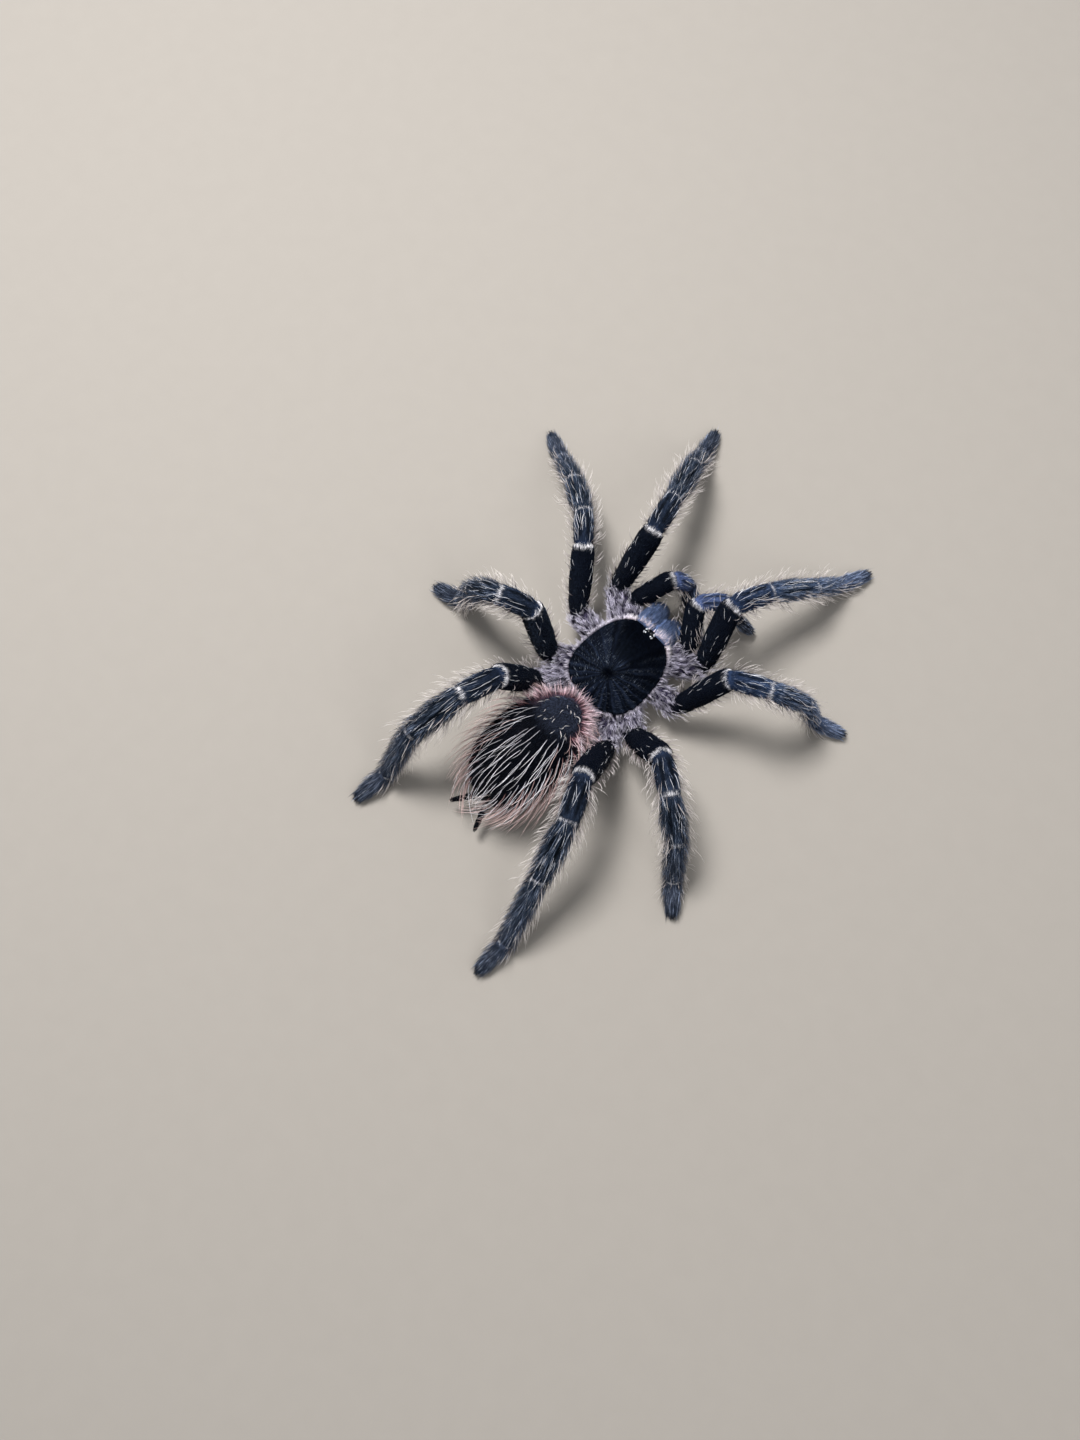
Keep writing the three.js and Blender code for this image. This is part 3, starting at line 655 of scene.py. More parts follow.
# %% The form of the plate
PLATE_LENGTH, PLATE_WIDTH = 25.2, 21.6
PLATE_TAPER = 0.0075                # narrower towards the front, per millimetre
PLATE_ROUNDNESS = 2.6               # 2 would be an ellipse, more is squarer
PLATE_UNDERSIDE, PLATE_RIM, PLATE_CROWN, HEAD_RISE = 10.7, 0.9, 3.9, 0.9
PIT_Y = 4.6
MOUND_Y, MOUND_HALF_WIDTH, MOUND_HALF_LENGTH, MOUND_RISE = -10.6, 1.75, 1.3, 1.25
PLATE_TOP_END = 0.8                 # the first number at the edge of the top
PLATE_SECTION = np.array([          # first number, share of the outline, share of the rim
    [0, 0, 1], [PLATE_TOP_END, 1, 1], [0.82, 1.01, 0.6], [0.85, 0.995, 0.2], [0.88, 0.95, 0], [1, 0, 0],
])

# Grooves: their angle about the pit from straight ahead, depth and half width in radians.
GROOVES = [(0.6, 0.24, 0.09), (1.3, 0.04, 0.14), (1.9, 0.05, 0.12), (2.55, 0.04, 0.14)]

def around_pit(x, y):
    """The distance of a place from the pit and its angle: 0 ahead, half a turn behind."""
    return np.hypot(x, y - PIT_Y), np.arctan2(x, PIT_Y - y)

def plate_dome(x, y, share):
    """The height of the dome without its grooves: a flat-topped crown, higher at the head."""
    crown = PLATE_CROWN * (1 - share ** 2.3)
    head = HEAD_RISE * np.exp(-(x / 5.5) ** 2 - ((y + 6) / 6) ** 2)
    return PLATE_UNDERSIDE + PLATE_RIM + crown + head

MOUND_FOOT = plate_dome(0, MOUND_Y, -MOUND_Y / (PLATE_LENGTH / 2))

def mound_height(x, y):
    """The height of the eye mound: half an ellipsoid on the dome."""
    flat = (x / MOUND_HALF_WIDTH) ** 2 + ((y - MOUND_Y) / MOUND_HALF_LENGTH) ** 2
    return np.where(flat < 1, MOUND_FOOT + MOUND_RISE * np.sqrt(np.clip(1 - flat, 0, 1)), 0)

def plate_top(x, y, share):
    """The height of the plate: the dome less its grooves and pit, with the eye mound."""
    distance, angle = around_pit(x, y)
    depth = 0.75 * np.exp(-(x / 1.1) ** 2 - ((y - PIT_Y) / 0.5) ** 2)
    reach = ease(0.8, 3.5, distance) * (1 - ease(0.8, 0.97, share))
    for middle, deep, wide in GROOVES:
        depth = depth + deep * reach * np.exp(-((np.abs(angle) - middle) / wide) ** 2)
    rim = 0.16 * np.exp(-((share - 0.975) / 0.02) ** 2)
    return np.maximum(plate_dome(x, y, share) - depth + rim, mound_height(x, y))

def plate_at(run, turn):
    """A place of the plate: its outline is a squarish oval, shrunk by the share."""
    share, rim = [np.interp(run, PLATE_SECTION[:, 0], PLATE_SECTION[:, i]) for i in (1, 2)]
    x, y = [np.sign(wave) * np.abs(wave) ** (2 / PLATE_ROUNDNESS)
            for wave in (np.sin(turn), np.cos(turn))]
    y = -(PLATE_LENGTH / 2) * y
    x = x * (PLATE_WIDTH / 2) * (1 + PLATE_TAPER * y) * share
    y = y * share
    edge = PLATE_UNDERSIDE + PLATE_RIM * rim
    return np.stack([x, y, np.where(run <= PLATE_TOP_END, plate_top(x, y, share), edge)], -1)

PLATE_PATCH = Patch(plate_at, (0.003, 0.997))
print("foot of the eye mound, in millimetres up:", round(float(MOUND_FOOT), 2))

# %% The plate's colours
PLATE_TONE, PLATE_STREAK = linear("020307"), linear("1d2433")
STREAKS = RNG.random(140)

def head_share(x, y):
    """1 on the head, the smooth part of the plate from the front edge to near the pit."""
    half_width = 1.2 + 0.42 * np.clip(PIT_Y - y, 0, 20)
    return (1 - ease(0.8, 1.15, np.abs(x) / half_width)) * ease(-1.0, 1.5, -y)

def streak_share(x, y):
    """0 to 1: streaks that run out from the pit, fade outwards and stay off the head."""
    distance, angle = around_pit(x, y)
    count = len(STREAKS)
    wobble = 0.35 * np.sin(distance * 1.3 + 4 * np.sin(3 * angle))
    place = np.mod(np.mod(angle, TURN) / TURN * count + wobble, count)
    streak = np.interp(place, np.arange(count + 1), np.r_[STREAKS, STREAKS[0]])
    streak = streak ** 2 * ease(0.8, 2.5, distance) * (1 - 0.5 * ease(7, 13, distance))
    return streak * (1 - 0.9 * head_share(x, y))

def plate_tint(run, turn):
    """Black with grey streaks."""
    points = plate_at(run, turn)
    streak = streak_share(points[..., 0], points[..., 1])
    return PLATE_TONE + streak[..., None] * (PLATE_STREAK - PLATE_TONE)

new_solid("shell_plate", PLATE_PATCH, (130, 250), plate_tint, PLATE_FINISH, "carapace_plate", "carapace")

# %% [markdown]
# ## Eyes, fangs and claws
# There are eight eyes, in two rows of four across the mound. Each could be half a ball on
# the shell, but a whole bead that is half sunk in leaves no gap. The two in the middle of the
# front row are black and round, and the others are paler and oval. The fangs are curved
# horns, made like the limbs. Each foot ends in two small hooks, half hidden by its pads.

# %% Eyes
# The six paler eyes are pearly in life; their pale colour is that pearl and also a painted glint.
EYES = {    # of the left side: across, forward of the mound's middle, half sizes, colour
    "front_inner": (0.44, 0.42, (0.36, 0.36, 0.36), "060505"),
    "front_outer": (1.2, 0.72, (0.34, 0.44, 0.34), "a2a4aa"),
    "rear_outer": (1.3, -0.3, (0.26, 0.36, 0.26), "9a9ca2"),
    "rear_inner": (0.84, -0.26, (0.18, 0.24, 0.18), "dcdee2"),
}
FRONT_EYE_TURN, REAR_EYE_TURN = -0.6, 0.5       # about the upright, in radians

for name, (across, forward, size, colour) in EYES.items():
    flat = (across / MOUND_HALF_WIDTH) ** 2 + (forward / MOUND_HALF_LENGTH) ** 2
    height = MOUND_FOOT + MOUND_RISE * math.sqrt(max(1 - flat, 0.05)) - 0.3 * size[2]
    turned = FRONT_EYE_TURN if forward > 0 else REAR_EYE_TURN
    for label, side in SIDES.items():
        bead = ellipsoid([side * across, MOUND_Y - forward, height], size, side * turned)
        new_solid(f"eye_bead_{name}_{label}", bead, (17, 24), plain(linear(colour)), EYE_FINISH, "eye",
                  f"eye_{name}_{label}")

# %% Fangs and claws
FANG_LINE = [[2.55, -17.3, 4.2], [2.35, -15.2, 3.1], [1.9, -12.6, 3.7]]
FANG_RADII = [[0, 0.78], [0.5, 0.58], [1, 0.12]]
HORN_TONE = linear("0d0606")

for label in SIDES:
    fang = knot_tube(jaw_corners(FANG_LINE, label, 0), [5], FANG_RADII, 0.2)
    new_solid(f"fang_horn_{label}", fang, (40, 20), plain(HORN_TONE), HORN_FINISH, "fang_horn",
              f"fang_{label}")

def claw_shell(limb, side):
    """One small hook at the tip of a limb, curving forward and down."""
    point, along, across, above = line_frame(limb.line, np.array(limb.line.distance[-1]))
    base = point - 0.5 * along + 0.75 * above + side * 0.38 * across
    line = bent_line([base, base + 0.9 * along + 0.2 * above, base + 1.35 * along - 0.55 * above], [0.8])
    length = line.distance[-1]
    return shell(tube(line, lambda d: 0.15 - 0.12 * d / length, tip=0.08), 12, 8, plain(HORN_TONE))

claws = [claw_shell(limb, side) for limb in LIMBS for side in (-1, 1)]
new_piece("claws", new_mesh("claws", *join(claws)), HORN_FINISH, "fang_horn")

# %% [markdown]
# ## How hair is made
# Blender's hair curves would do for a picture, but not for an export. So hair here is solid
# mesh: each strand is a thin three-sided spike along a curve that starts at the skin, leans
# over and bends. Short velvet takes one stretch of triangles, and a long bristle takes
# several, so that it can wave. Wool and fringes grow in locks, whose strands lean to a common
# tip. Every strand also has a small patch on a flat map called OFBake, at the place of its
# root on the unrolled skin, for baking colour.

# %% Where hair grows
EVEN_STEPS = [0.7548777, 0.5698403]     # 1 / p and 1 / p^2, where p^3 = p + 1

def scatter(patch, density, u=None, even=False):
    """Random places on part of a surface, so many per square millimetre. density is a number
    or a function of the two coordinates; a fine grid gives the area that it applies to. Even
    places keep clear of each other: place n takes n times the two even steps, less the whole
    numbers in them, as its shares of the area."""
    rows, columns = 150, 48
    low_u, high_u = patch.u if u is None else u
    grid_u, grid_v = np.meshgrid(np.linspace(low_u, high_u, rows + 1),
                                 np.linspace(0, TURN, columns + 1), indexing="ij")
    points = patch.at(grid_u, grid_v)
    area = np.linalg.norm(np.cross(np.diff(points, axis=0)[:, :-1], np.diff(points, axis=1)[:-1]), axis=-1)
    step_u, step_v = (high_u - low_u) / rows, TURN / columns
    middle_u, middle_v = grid_u[:-1, :-1] + step_u / 2, grid_v[:-1, :-1] + step_v / 2
    chance = area * (density(middle_u, middle_v) if callable(density) else density)
    count = int(round(chance.sum()))
    picks = RNG.random((count, 2))
    if even:
        picks = np.mod(np.arange(count)[:, None] * EVEN_STEPS + RNG.random(2), 1)
    row_sums, column_sums = np.cumsum(chance.sum(axis=1)), np.cumsum(chance, axis=1)
    row = np.minimum(np.searchsorted(row_sums, picks[:, 0] * row_sums[-1]), rows - 1)
    wanted = picks[:, 1] * column_sums[row, -1]
    column = np.minimum((column_sums[row] < wanted[:, None]).sum(axis=1), columns - 1)
    return low_u + (row + RNG.random(count)) * step_u, (column + RNG.random(count)) * step_v

def spread_roots(patch, u, v, reach):
    """Places moved at random along and round a surface, by about reach in millimetres."""
    middle, (small_u, small_v) = patch.at(u, v), small_steps(patch)
    stretch_u = np.linalg.norm(patch.at(u + small_u, v) - middle, axis=-1) / small_u
    stretch_v = np.linalg.norm(patch.at(u, v + small_v) - middle, axis=-1) / small_v
    u = u + reach * RNG.standard_normal(len(u)) / np.maximum(stretch_u, 0.1)
    return np.clip(u, *patch.u), v + reach * RNG.standard_normal(len(v)) / np.maximum(stretch_v, 0.5)

# %% How hair lies
LOCK_SCATTER, STRAND_SCATTER = 0.95, 0.3    # what a lock does together and a strand alone
LOCK_LENGTHS, STRAND_LENGTHS = (0.62, 1.25), (0.85, 1.1)    # shares of the length asked for
ROOT_DEPTH = 0.08                           # how deep a root is in the skin, in millimetres

def comb(patch, places, length, thick, rise, tints, sweep=0.0, spread=10.0, droop=0.5,
         curl=0.0, wave=0.0, waves=1.0, mottle=0.15, members=1, reach=0.0, flow=None):
    """Strands from places on a surface. Each leans from the surface by its rise and off the
    direction along it by its sweep, in degrees, scattered by the spread. droop bends it back
    to the surface, curl back to the direction along, and wave sways it sideways by that share
    of its length. tints are the colours of root and tip, and mottle is how much they differ
    from strand to strand. Each place may stand for a lock of several members with roots
    within its reach. flow may give other directions along and round."""
    locks = len(places[0])
    count = locks * members
    each = lambda value: np.repeat(np.broadcast_to(value, locks), members)
    shared = lambda sample: np.repeat(sample(locks), members)
    alone = lambda: STRAND_SCATTER * RNG.standard_normal(count)
    vary = lambda: LOCK_SCATTER * shared(RNG.standard_normal) + alone()
    u, v = each(places[0]), each(places[1])
    map_spot = np.stack([(place - place.min()) / max(np.ptp(place), 1e-6) for place in (u, v)], -1)
    middle = patch.at(u, v)
    if members > 1:
        u, v = spread_roots(patch, u, v, reach)
    root, along, around, normal = surface_frame(patch, u, v)
    if flow is not None:
        along, around = flow(root, along, around, normal)
    long = each(length) * shared(lambda n: RNG.uniform(*LOCK_LENGTHS, n))
    long = long * RNG.uniform(*STRAND_LENGTHS, count)
    rise = np.radians(np.clip(each(rise) + 0.6 * spread * vary(), 3, 88))[:, None]
    sweep = np.radians(each(sweep) + spread * vary())[:, None]
    lie = np.cos(sweep) * along + np.sin(sweep) * around
    start = np.cos(rise) * lie + np.sin(rise) * normal
    bend = droop * np.sin(rise) * (0.4 * lie - normal) + 0.85 * (middle - root) / long[:, None]
    bend = bend + curl * (along - np.cos(sweep) * lie)
    shade = (1 + mottle * np.clip(vary(), -0.95, 1.1))[:, None]
    root_tint, tip_tint = [shade * np.repeat(np.broadcast_to(tint, (locks, 3)), members, 0) for tint in tints]
    if members > 1:
        map_spot = np.clip(map_spot + 0.004 * RNG.standard_normal((count, 2)), 0, 1)
    return {
        "root": root - ROOT_DEPTH * normal, "start": start, "bend": bend,
        "side": unit(np.cross(start, normal)), "length": long,
        "thick": each(thick) * RNG.uniform(0.85, 1.15, count),
        "wave": each(wave) * shared(lambda n: RNG.uniform(-1, 1, n)),
        "waves": each(waves) * shared(lambda n: RNG.uniform(0.8, 1.2, n)),
        "phase": shared(lambda n: RNG.uniform(0, TURN, n)) + 0.4 * RNG.standard_normal(count),
        "root_tint": root_tint, "tip_tint": tip_tint, "map": map_spot,
    }

def coat(patch, density, length, thick, rise, tints, **lie):
    """Strands scattered over one surface."""
    return comb(patch, scatter(patch, density), length, thick, rise, tints, **lie)

# %% From strands to a mesh
BAKE_PATCH = 0.0015     # half the size of a strand's patch on the OFBake map
MAP_MARGIN, BAND_MARGIN = 0.01, 0.06    # kept free at the edges of the map and of each band
HAIR_FLOOR = 0.06       # no strand goes lower than this, in millimetres

def strand_triangles(parts):
    """The triangles of one strand by its own points: three per ring, then the tip."""
    faces = [[0, 2, 1]]
    for a in range(3 * parts - 3):
        b = a + 1 if a % 3 < 2 else a - 2
        faces += [[a, b, b + 3], [a, b + 3, a + 3]]
    last = 3 * (parts - 1)
    return np.array(faces + [[last + k, last + (k + 1) % 3, last + 3] for k in range(3)])

def grow(name, finish, slot, sets, parts):
    """One piece of coat from sets of strands, each strand of so many stretches. A strand's
    point at a share t is root + length (t start + t^2 bend) plus its sideways sway, and its
    thickness falls as a root of 1 - t. Each set gets a band of its own on the map."""
    inside = 1 - 2 * BAND_MARGIN
    bands = [np.stack([one["map"][:, 0], (i + BAND_MARGIN + inside * one["map"][:, 1]) / len(sets)], -1)
             for i, one in enumerate(sets)]
    hair = {key: np.concatenate([one[key] for one in sets])[:, None] for key in sets[0]}
    place = MAP_MARGIN + (1 - 2 * MAP_MARGIN) * np.concatenate(bands)
    count, size = len(place), 3 * parts + 1
    t = np.r_[np.repeat(np.arange(parts), 3), parts] / parts
    corner = np.r_[np.tile(np.arange(3), parts), 0]
    share = t[None, :, None]
    length, thick, wave, waves, phase = [hair[key][..., None] for key in
                                         ("length", "thick", "wave", "waves", "phase")]
    sway = wave * length * share * (np.sin(TURN * waves * share + phase) - np.sin(phase) * (1 - share))
    points = hair["root"] + length * (share * hair["start"] + share ** 2 * hair["bend"]) + sway * hair["side"]
    radius = thick / 2 * (1 - share) ** 0.55 * np.where(share == 0, 0.8, 1)
    turn = TURN * corner[None, :, None] / 3
    upper = np.cross(hair["start"], hair["side"])
    points = points + radius * (np.cos(turn) * hair["side"] + np.sin(turn) * upper)
    points[..., 2] = np.maximum(points[..., 2], HAIR_FLOOR + radius[..., 0] * np.sin(turn[..., 0]) * 0.5)
    tints = hair["root_tint"] * (1 - share) + hair["tip_tint"] * share
    triangles = (strand_triangles(parts)[None] + size * np.arange(count)[:, None, None]).reshape(-1, 3)
    mesh = new_mesh(name, points.reshape(-1, 3), triangles, tints.reshape(-1, 3))
    offset = BAKE_PATCH * np.stack([corner - 1, 2 * t - 1], -1)
    spots = (place[:, None] + offset[None]).reshape(-1, 2)
    layer = mesh.uv_layers.new(name="OFBake")
    layer.data.foreach_set("uv", spots[triangles.ravel()].astype(np.float32).ravel())
    new_piece(name, mesh, finish, slot)

def limb_sets(zone, density, length, thick, rise, tint, limbs=LIMBS, **lie):
    """Strands on the same zone of several limbs, from one joint number to another. density,
    length and rise may be functions of the joint number and the turn. tint is the colours of
    root and tip, or a function that gives them from the limb, the distance and the turn."""
    sets = []
    for limb in limbs:
        ask = lambda value, u, v: value(limb.number(u), v) if callable(value) else value
        ends = limb.distance(zone[0]), limb.distance(zone[1])
        places = scatter(limb.patch, lambda u, v: ask(density, u, v) + 0 * u, u=ends)
        tints = tint(limb, *places) if callable(tint) else tint
        sets.append(comb(limb.patch, places, limb.girth * ask(length, *places), thick,
                         ask(rise, *places), tints, **lie))
    return sets

# %% [markdown]
# ## Velvet on the limbs
# The dark ground of every limb is short hair that lies along it. A finish alone could look
# like velvet from afar, but real strands also soften the outline. From the patella outwards a
# second, longer layer makes the limb bushy. The pieces are split by side and by joint, so
# that no mesh gets too large.

# %% Velvet
def velvet_tint(limb, distance, turn):
    """The limb's own colour, darker at the root and lighter at the tip."""
    tone = limb_tint(limb, distance, turn)
    return 0.7 * tone, 1.5 * tone

for label, limbs in BY_SIDE.items():
    velvet = limb_sets((1.0, 1.99), 14, 1.4, 0.13, 10, velvet_tint, limbs, spread=6, mottle=0.2)
    grow(f"velvet_upper_{label}", VELVET_FINISH, "limb_velvet", velvet, 1)
    velvet = limb_sets((1.99, 6.0), 12, 1.4, 0.13, 14, velvet_tint, limbs, spread=7, mottle=0.4)
    grow(f"velvet_lower_{label}", VELVET_FINISH, "limb_coat", velvet, 1)

# %% Longer dark hair on the outer joints
def bushy_tint(limb, distance, turn):
    """The limb's own colour without its rings, with painted glints: paler blue-grey tips, more of them on the
    painted-lit limbs.
    """
    tone = limb_tone(limb, limb.number(distance), turn)
    bright = RNG.random((len(tone), 1)) < 0.22 + 0.16 * limb.slate
    glint = (0.3 if limb.slate else 0.06) + 0.8 * bright
    return (0.7 + 0.6 * glint) * tone, 1.2 * tone + glint * linear("b2bfda")

def bushy_length(number, turn):
    """In millimetres: short on the patella and longest on the tibia."""
    return np.interp(number, [2, 2.5, 2.9, 3.2, 4, 5, 5.8], [1.4, 1.9, 2.4, 3.8, 4.5, 3.9, 2.8])

def ring_gap(number, turn):
    """1, but little along the top before each ring, so that the ring shows."""
    return 1 - 0.85 * ease(0.68, 0.88, np.mod(number, 1)) * ease(0.0, 0.5, np.sin(turn))

def bushy_density(number, turn):
    """Thick, except before the rings, on the bare lines and on top of the patella."""
    smooth = 0.6 * (1 - ease(2.85, 3.15, number)) * ease(-0.2, 0.2, np.sin(turn))
    return 4.6 * ring_gap(number, turn) * (1 - 0.9 * stripe_share(number, turn)) * (1 - smooth)

# Two pieces: the painted-lit limbs with flatter hair, and the others in painted shade with shaggier hair.
for label, lift in (("slate", 16), ("dark", 32)):
    limbs = [limb for limb in LIMBS if limb.slate == (label == "slate")]
    bushy_rise = lambda number, turn: np.interp(number, [2.1, 2.8, 3.3, 5.0, 5.8], [9, 12, lift, lift, 14])
    bushy = limb_sets((2.06, 5.85), bushy_density, bushy_length, 0.105, bushy_rise, bushy_tint, limbs,
                      spread=5, droop=0.4, mottle=0.35)
    grow(f"bushy_shins_{label}", VELVET_FINISH, "limb_coat", bushy, 2)

# %% [markdown]
# ## Rings, bristles and pads of the limbs
# A thin line of white hairs edges the end of each joint. Pale bristles stand out from the
# sides and bend towards the foot, longest on patella and tibia, and a few short curved ones
# lie on top. The soles of the two last joints carry dense dark pads to walk on. A ring could
# be left to the skin's colour, but the velvet would hide it, so it is hair as well.

# %% Rings
rings = []
for limb in LIMBS:
    ends = limb.distance(1.8), limb.distance(5.0)
    places = scatter(limb.patch, lambda u, v: 76 * ring_share(limb, u, v), u=ends)
    rings.append(comb(limb.patch, places, 0.26 * limb.girth, 0.12, 50, colours("dcd8e4", "fbf9fb"),
                      mottle=0.2))
grow("joint_rings", WOOL_FINISH, "limb_coat", rings, 1)

# %% Bristles at the sides
def side_share(turn, power):
    """1 at the two sides of a limb, falling to 0 on top and below."""
    return np.abs(np.cos(turn)) ** power

def lower_share(turn):
    """1 on the lower half of a limb, 0 above."""
    return ease(-0.15, 0.35, -np.sin(turn))

def femur_fringe(number, turn):
    """Bristles at the sides and below, with more of them near the hip."""
    near_hip = 1 - ease(1.15, 1.55, number)
    return (0.3 + 0.6 * near_hip) * side_share(turn, 7) + (0.2 + 0.3 * near_hip) * lower_share(turn)

def shin_fringe(number, turn):
    """Bristles at the sides, fewer of them high up, some below, and none on the tarsus."""
    sides = side_share(turn, 4) * (1.0 - 0.35 * ease(-0.1, 0.2, np.sin(turn)))
    return (1.15 * sides + 0.5 * lower_share(turn)) * (1 - ease(5.1, 5.5, number))

def shin_length(number, turn):
    """In millimetres: longest at the middle of the tibia."""
    return np.interp(number, [2, 2.6, 3.5, 4.2, 5, 5.5], [4.6, 5.8, 6.6, 6.2, 4.8, 2.4])

def shin_rise(number, turn):
    """In degrees: steep on the patella, flatter towards the foot."""
    return np.interp(number, [2, 3, 4, 5, 5.4], [58, 54, 46, 34, 25])

femur_bristles = limb_sets((1.02, 1.98), femur_fringe, 4.4, 0.18, 60, colours("6a5a60", "fff6f2"),
                           spread=13, droop=0.4, wave=0.15, waves=0.6)
grow("bristles_femur", WOOL_FINISH, "limb_coat", femur_bristles, 3)
for label, limbs in BY_SIDE.items():
    bristles = limb_sets((2.03, 5.6), shin_fringe, shin_length, 0.17, shin_rise, colours("5b5054", "fff6f0"),
                         limbs, spread=18, droop=0.36, wave=0.11, waves=0.7)
    grow(f"bristles_shin_{label}", WOOL_FINISH, "limb_coat", bristles, 3)

# %% Short bristles on top, and foot pads
def top_share(turn):
    """1 along the top of a limb, 0 on its underside."""
    return ease(0.05, 0.5, np.sin(turn))

femur_setae = limb_sets((1.05, 1.93), lambda n, v: 0.09 * top_share(v), 2.6, 0.1, 20,
                        colours("e4e4ec", "fdfcfd"), spread=13, droop=0.8, wave=0.05, waves=0.5)
shin_setae = limb_sets((2.05, 5.0), lambda n, v: 0.26 * top_share(v) * ring_gap(n, v), 4.6, 0.12, 15,
                       colours("b9bcca", "fbfafc"), spread=10, droop=0.7, wave=0.07)
toe_setae = limb_sets((5.0, 5.8), lambda n, v: 0.4 * top_share(v), 1.5, 0.11, 14,
                      colours("8d93a0", "c9cbd2"), spread=9)
grow("bristles_top", WOOL_FINISH, "limb_coat", femur_setae + shin_setae + toe_setae, 3)
pads = limb_sets((4.4, 6.0), lambda n, v: 15 * ease(0.35, 0.6, -np.sin(v)), 0.75, 0.17, 58,
                 colours("0b0d13", "2b3344"))
edges = limb_sets((4.3, 6.0), lambda n, v: 5 * ease(0.3, 0.7, np.abs(np.cos(v))), 1.25, 0.13, 40,
                  colours("161e2c", "56657f"), spread=14, mottle=0.5)
grow("foot_pads", VELVET_FINISH, "limb_velvet", pads + edges, 1)

# %% [markdown]
# ## The woolly coxae and chest
# Round the rim of the plate the coxae carry lavender-grey wool. Single curly strands would
# look like fuzz, so it grows in locks of six, dark at the root as painted shade between the
# locks and whitish at the tip, the wool's own colour made paler as a painted highlight, which
# sets each lock off from the next. Where a coxa ends the wool stands up as a collar round the
# start of the black femur. The sides of the chest have the same wool.

# %% Lavender wool
# Dark roots as painted shade between the locks, and tips paler than the wool's own whitish lavender as a
# painted highlight.
WOOL = colours("15131d", "d6d0e4")
CURLY = {"spread": 24, "droop": 0.5, "wave": 0.2, "waves": 1.0, "mottle": 0.6, "members": 6, "reach": 0.22}

for label, limbs in BY_SIDE.items():
    wool = limb_sets((0.2, 0.93), 1.2, 2.9, 0.1, 36, WOOL, limbs, **CURLY)
    collar = limb_sets((0.9, 1.0), 1.5, 1.1, 0.12, 58, colours("5c5870", "f4f1fb"), limbs, **CURLY)
    long_wool = limb_sets((0.45, 1.12), 0.4, 3.8, 0.14, 48, colours("8f88a0", "fbf8fd"), limbs,
                          spread=26, droop=0.4, wave=0.16, waves=0.6)
    grow(f"wool_coxae_{label}", WOOL_FINISH, "coxa_coat", wool + collar + long_wool, 3)

def chest_density(polar, turn):
    """Locks along the side of the chest, none on its top or its underside."""
    return 1.4 * (1 - ease(0.5, 0.85, np.abs(np.sin(turn))))

def outward(root, along, around, normal):
    """Directions level and away from the middle of the body."""
    away = unit(root * [1, 1, 0])
    return away, unit(np.cross(UP, away))

wool = [coat(CHEST, chest_density, 2.6, 0.1, 30, WOOL, flow=outward, **CURLY),
        coat(WAIST, 1.0, 1.6, 0.13, 40, WOOL, **CURLY)]
grow("wool_chest", WOOL_FINISH, "coxa_coat", wool, 3)

# %% [markdown]
# ## The abdomen's coat
# Black velvet covers the abdomen. A round patch of short stiff bristles stands on top near
# the front, which the animal can kick off. A band of red hair with pale tips stands out round
# the front end. From there back, long cream hairs sweep over the back in shallow waves, and
# pinkish ones stand out along the flanks and round the spinnerets. One mixed coat would blur
# these zones, so every kind of hair is a set of its own with its own density over the egg.

# %% Velvet and bristle patch
def abdomen_velvet(density, length, rise, share_at, shades):
    """Short strands over the abdomen with its own colours, by a share from 0 to 1, plus a painted sheen of
    blue grey that is strongest towards the front.
    """
    places = scatter(ABDOMEN_PATCH, lambda u, v: density * share_at(u, v))
    tone = abdomen_tint(*places)
    painted_sheen_tone = linear("5c6680") * (1.6 - 3 * np.clip(places[0], 0.1, 0.45))[:, None]
    tints = [shade * tone + painted_sheen * painted_sheen_tone for shade, painted_sheen in shades]
    return comb(ABDOMEN_PATCH, places, length, 0.16, rise, tints, spread=11, mottle=0.5)

not_patch = lambda u, v: 1 - front_patch_share(u, v)
# Each pair is a share of the tone and an amount of painted sheen, for root and tip.
velvet = [abdomen_velvet(10, 1.5, 20, not_patch, ((0.6, 0), (1.4, 0.03))),
          abdomen_velvet(1.6, 2.6, 16, not_patch, ((0.8, 0.02), (1.5, 0.3)))]
grow("velvet_abdomen", VELVET_FINISH, "abdomen_coat", velvet, 1)
stiff = abdomen_velvet(22, 1.4, 60, front_patch_share, ((0.4, 0.0), (1.0, 0.75)))
grow("bristle_patch", VELVET_FINISH, "abdomen_coat", [stiff], 1)

# %% Red band
def directions_from(middle):
    """A flow along the surface and straight away from a place, and at right angles to that."""
    def flow(root, along, around, normal):
        away = root - middle
        away = unit(away - normal * np.sum(away * normal, axis=-1, keepdims=True))
        return away, np.cross(normal, away)
    return flow

from_patch = directions_from(abdomen_at(np.array(PATCH_MIDDLE), np.array(TURN / 4)))

def band_strands(density, length, rise, share_at):
    """Locks of the red band: they stand up from the front end and lean out from the patch."""
    places = scatter(ABDOMEN_PATCH, lambda u, v: density * share_at(u, v))
    length = length * RNG.uniform(0.7, 1.35, len(places[0]))
    return comb(ABDOMEN_PATCH, places, length, 0.14, rise, colours("764049", "fae4ec"), spread=19,
                droop=0.2, wave=0.09, mottle=0.6, members=2, reach=0.3, flow=from_patch)

def outer_rim_share(share, turn):
    """1 where the band goes over to the flank."""
    return hump(1.2, 1.8, 2.2, 2.8, patch_distance(share, turn)) * (1 - ease(0.36, 0.48, share))

band = [band_strands(2.2, 3.9, 56, rim_share), band_strands(0.4, 6.0, 48, outer_rim_share)]
grow("red_band", WOOL_FINISH, "abdomen_coat", band, 3)

# %% Long hair
def long_strands(density, length, thick, rise, fall, tints, **lie):
    """Long strands over the abdomen, leading back and, by the degrees of fall, down its sides."""
    places = scatter(ABDOMEN_PATCH, density, u=(0.15, 0.94), even=True)
    return comb(ABDOMEN_PATCH, places, length, thick, rise, tints, sweep=-fall * np.cos(places[1]), **lie)

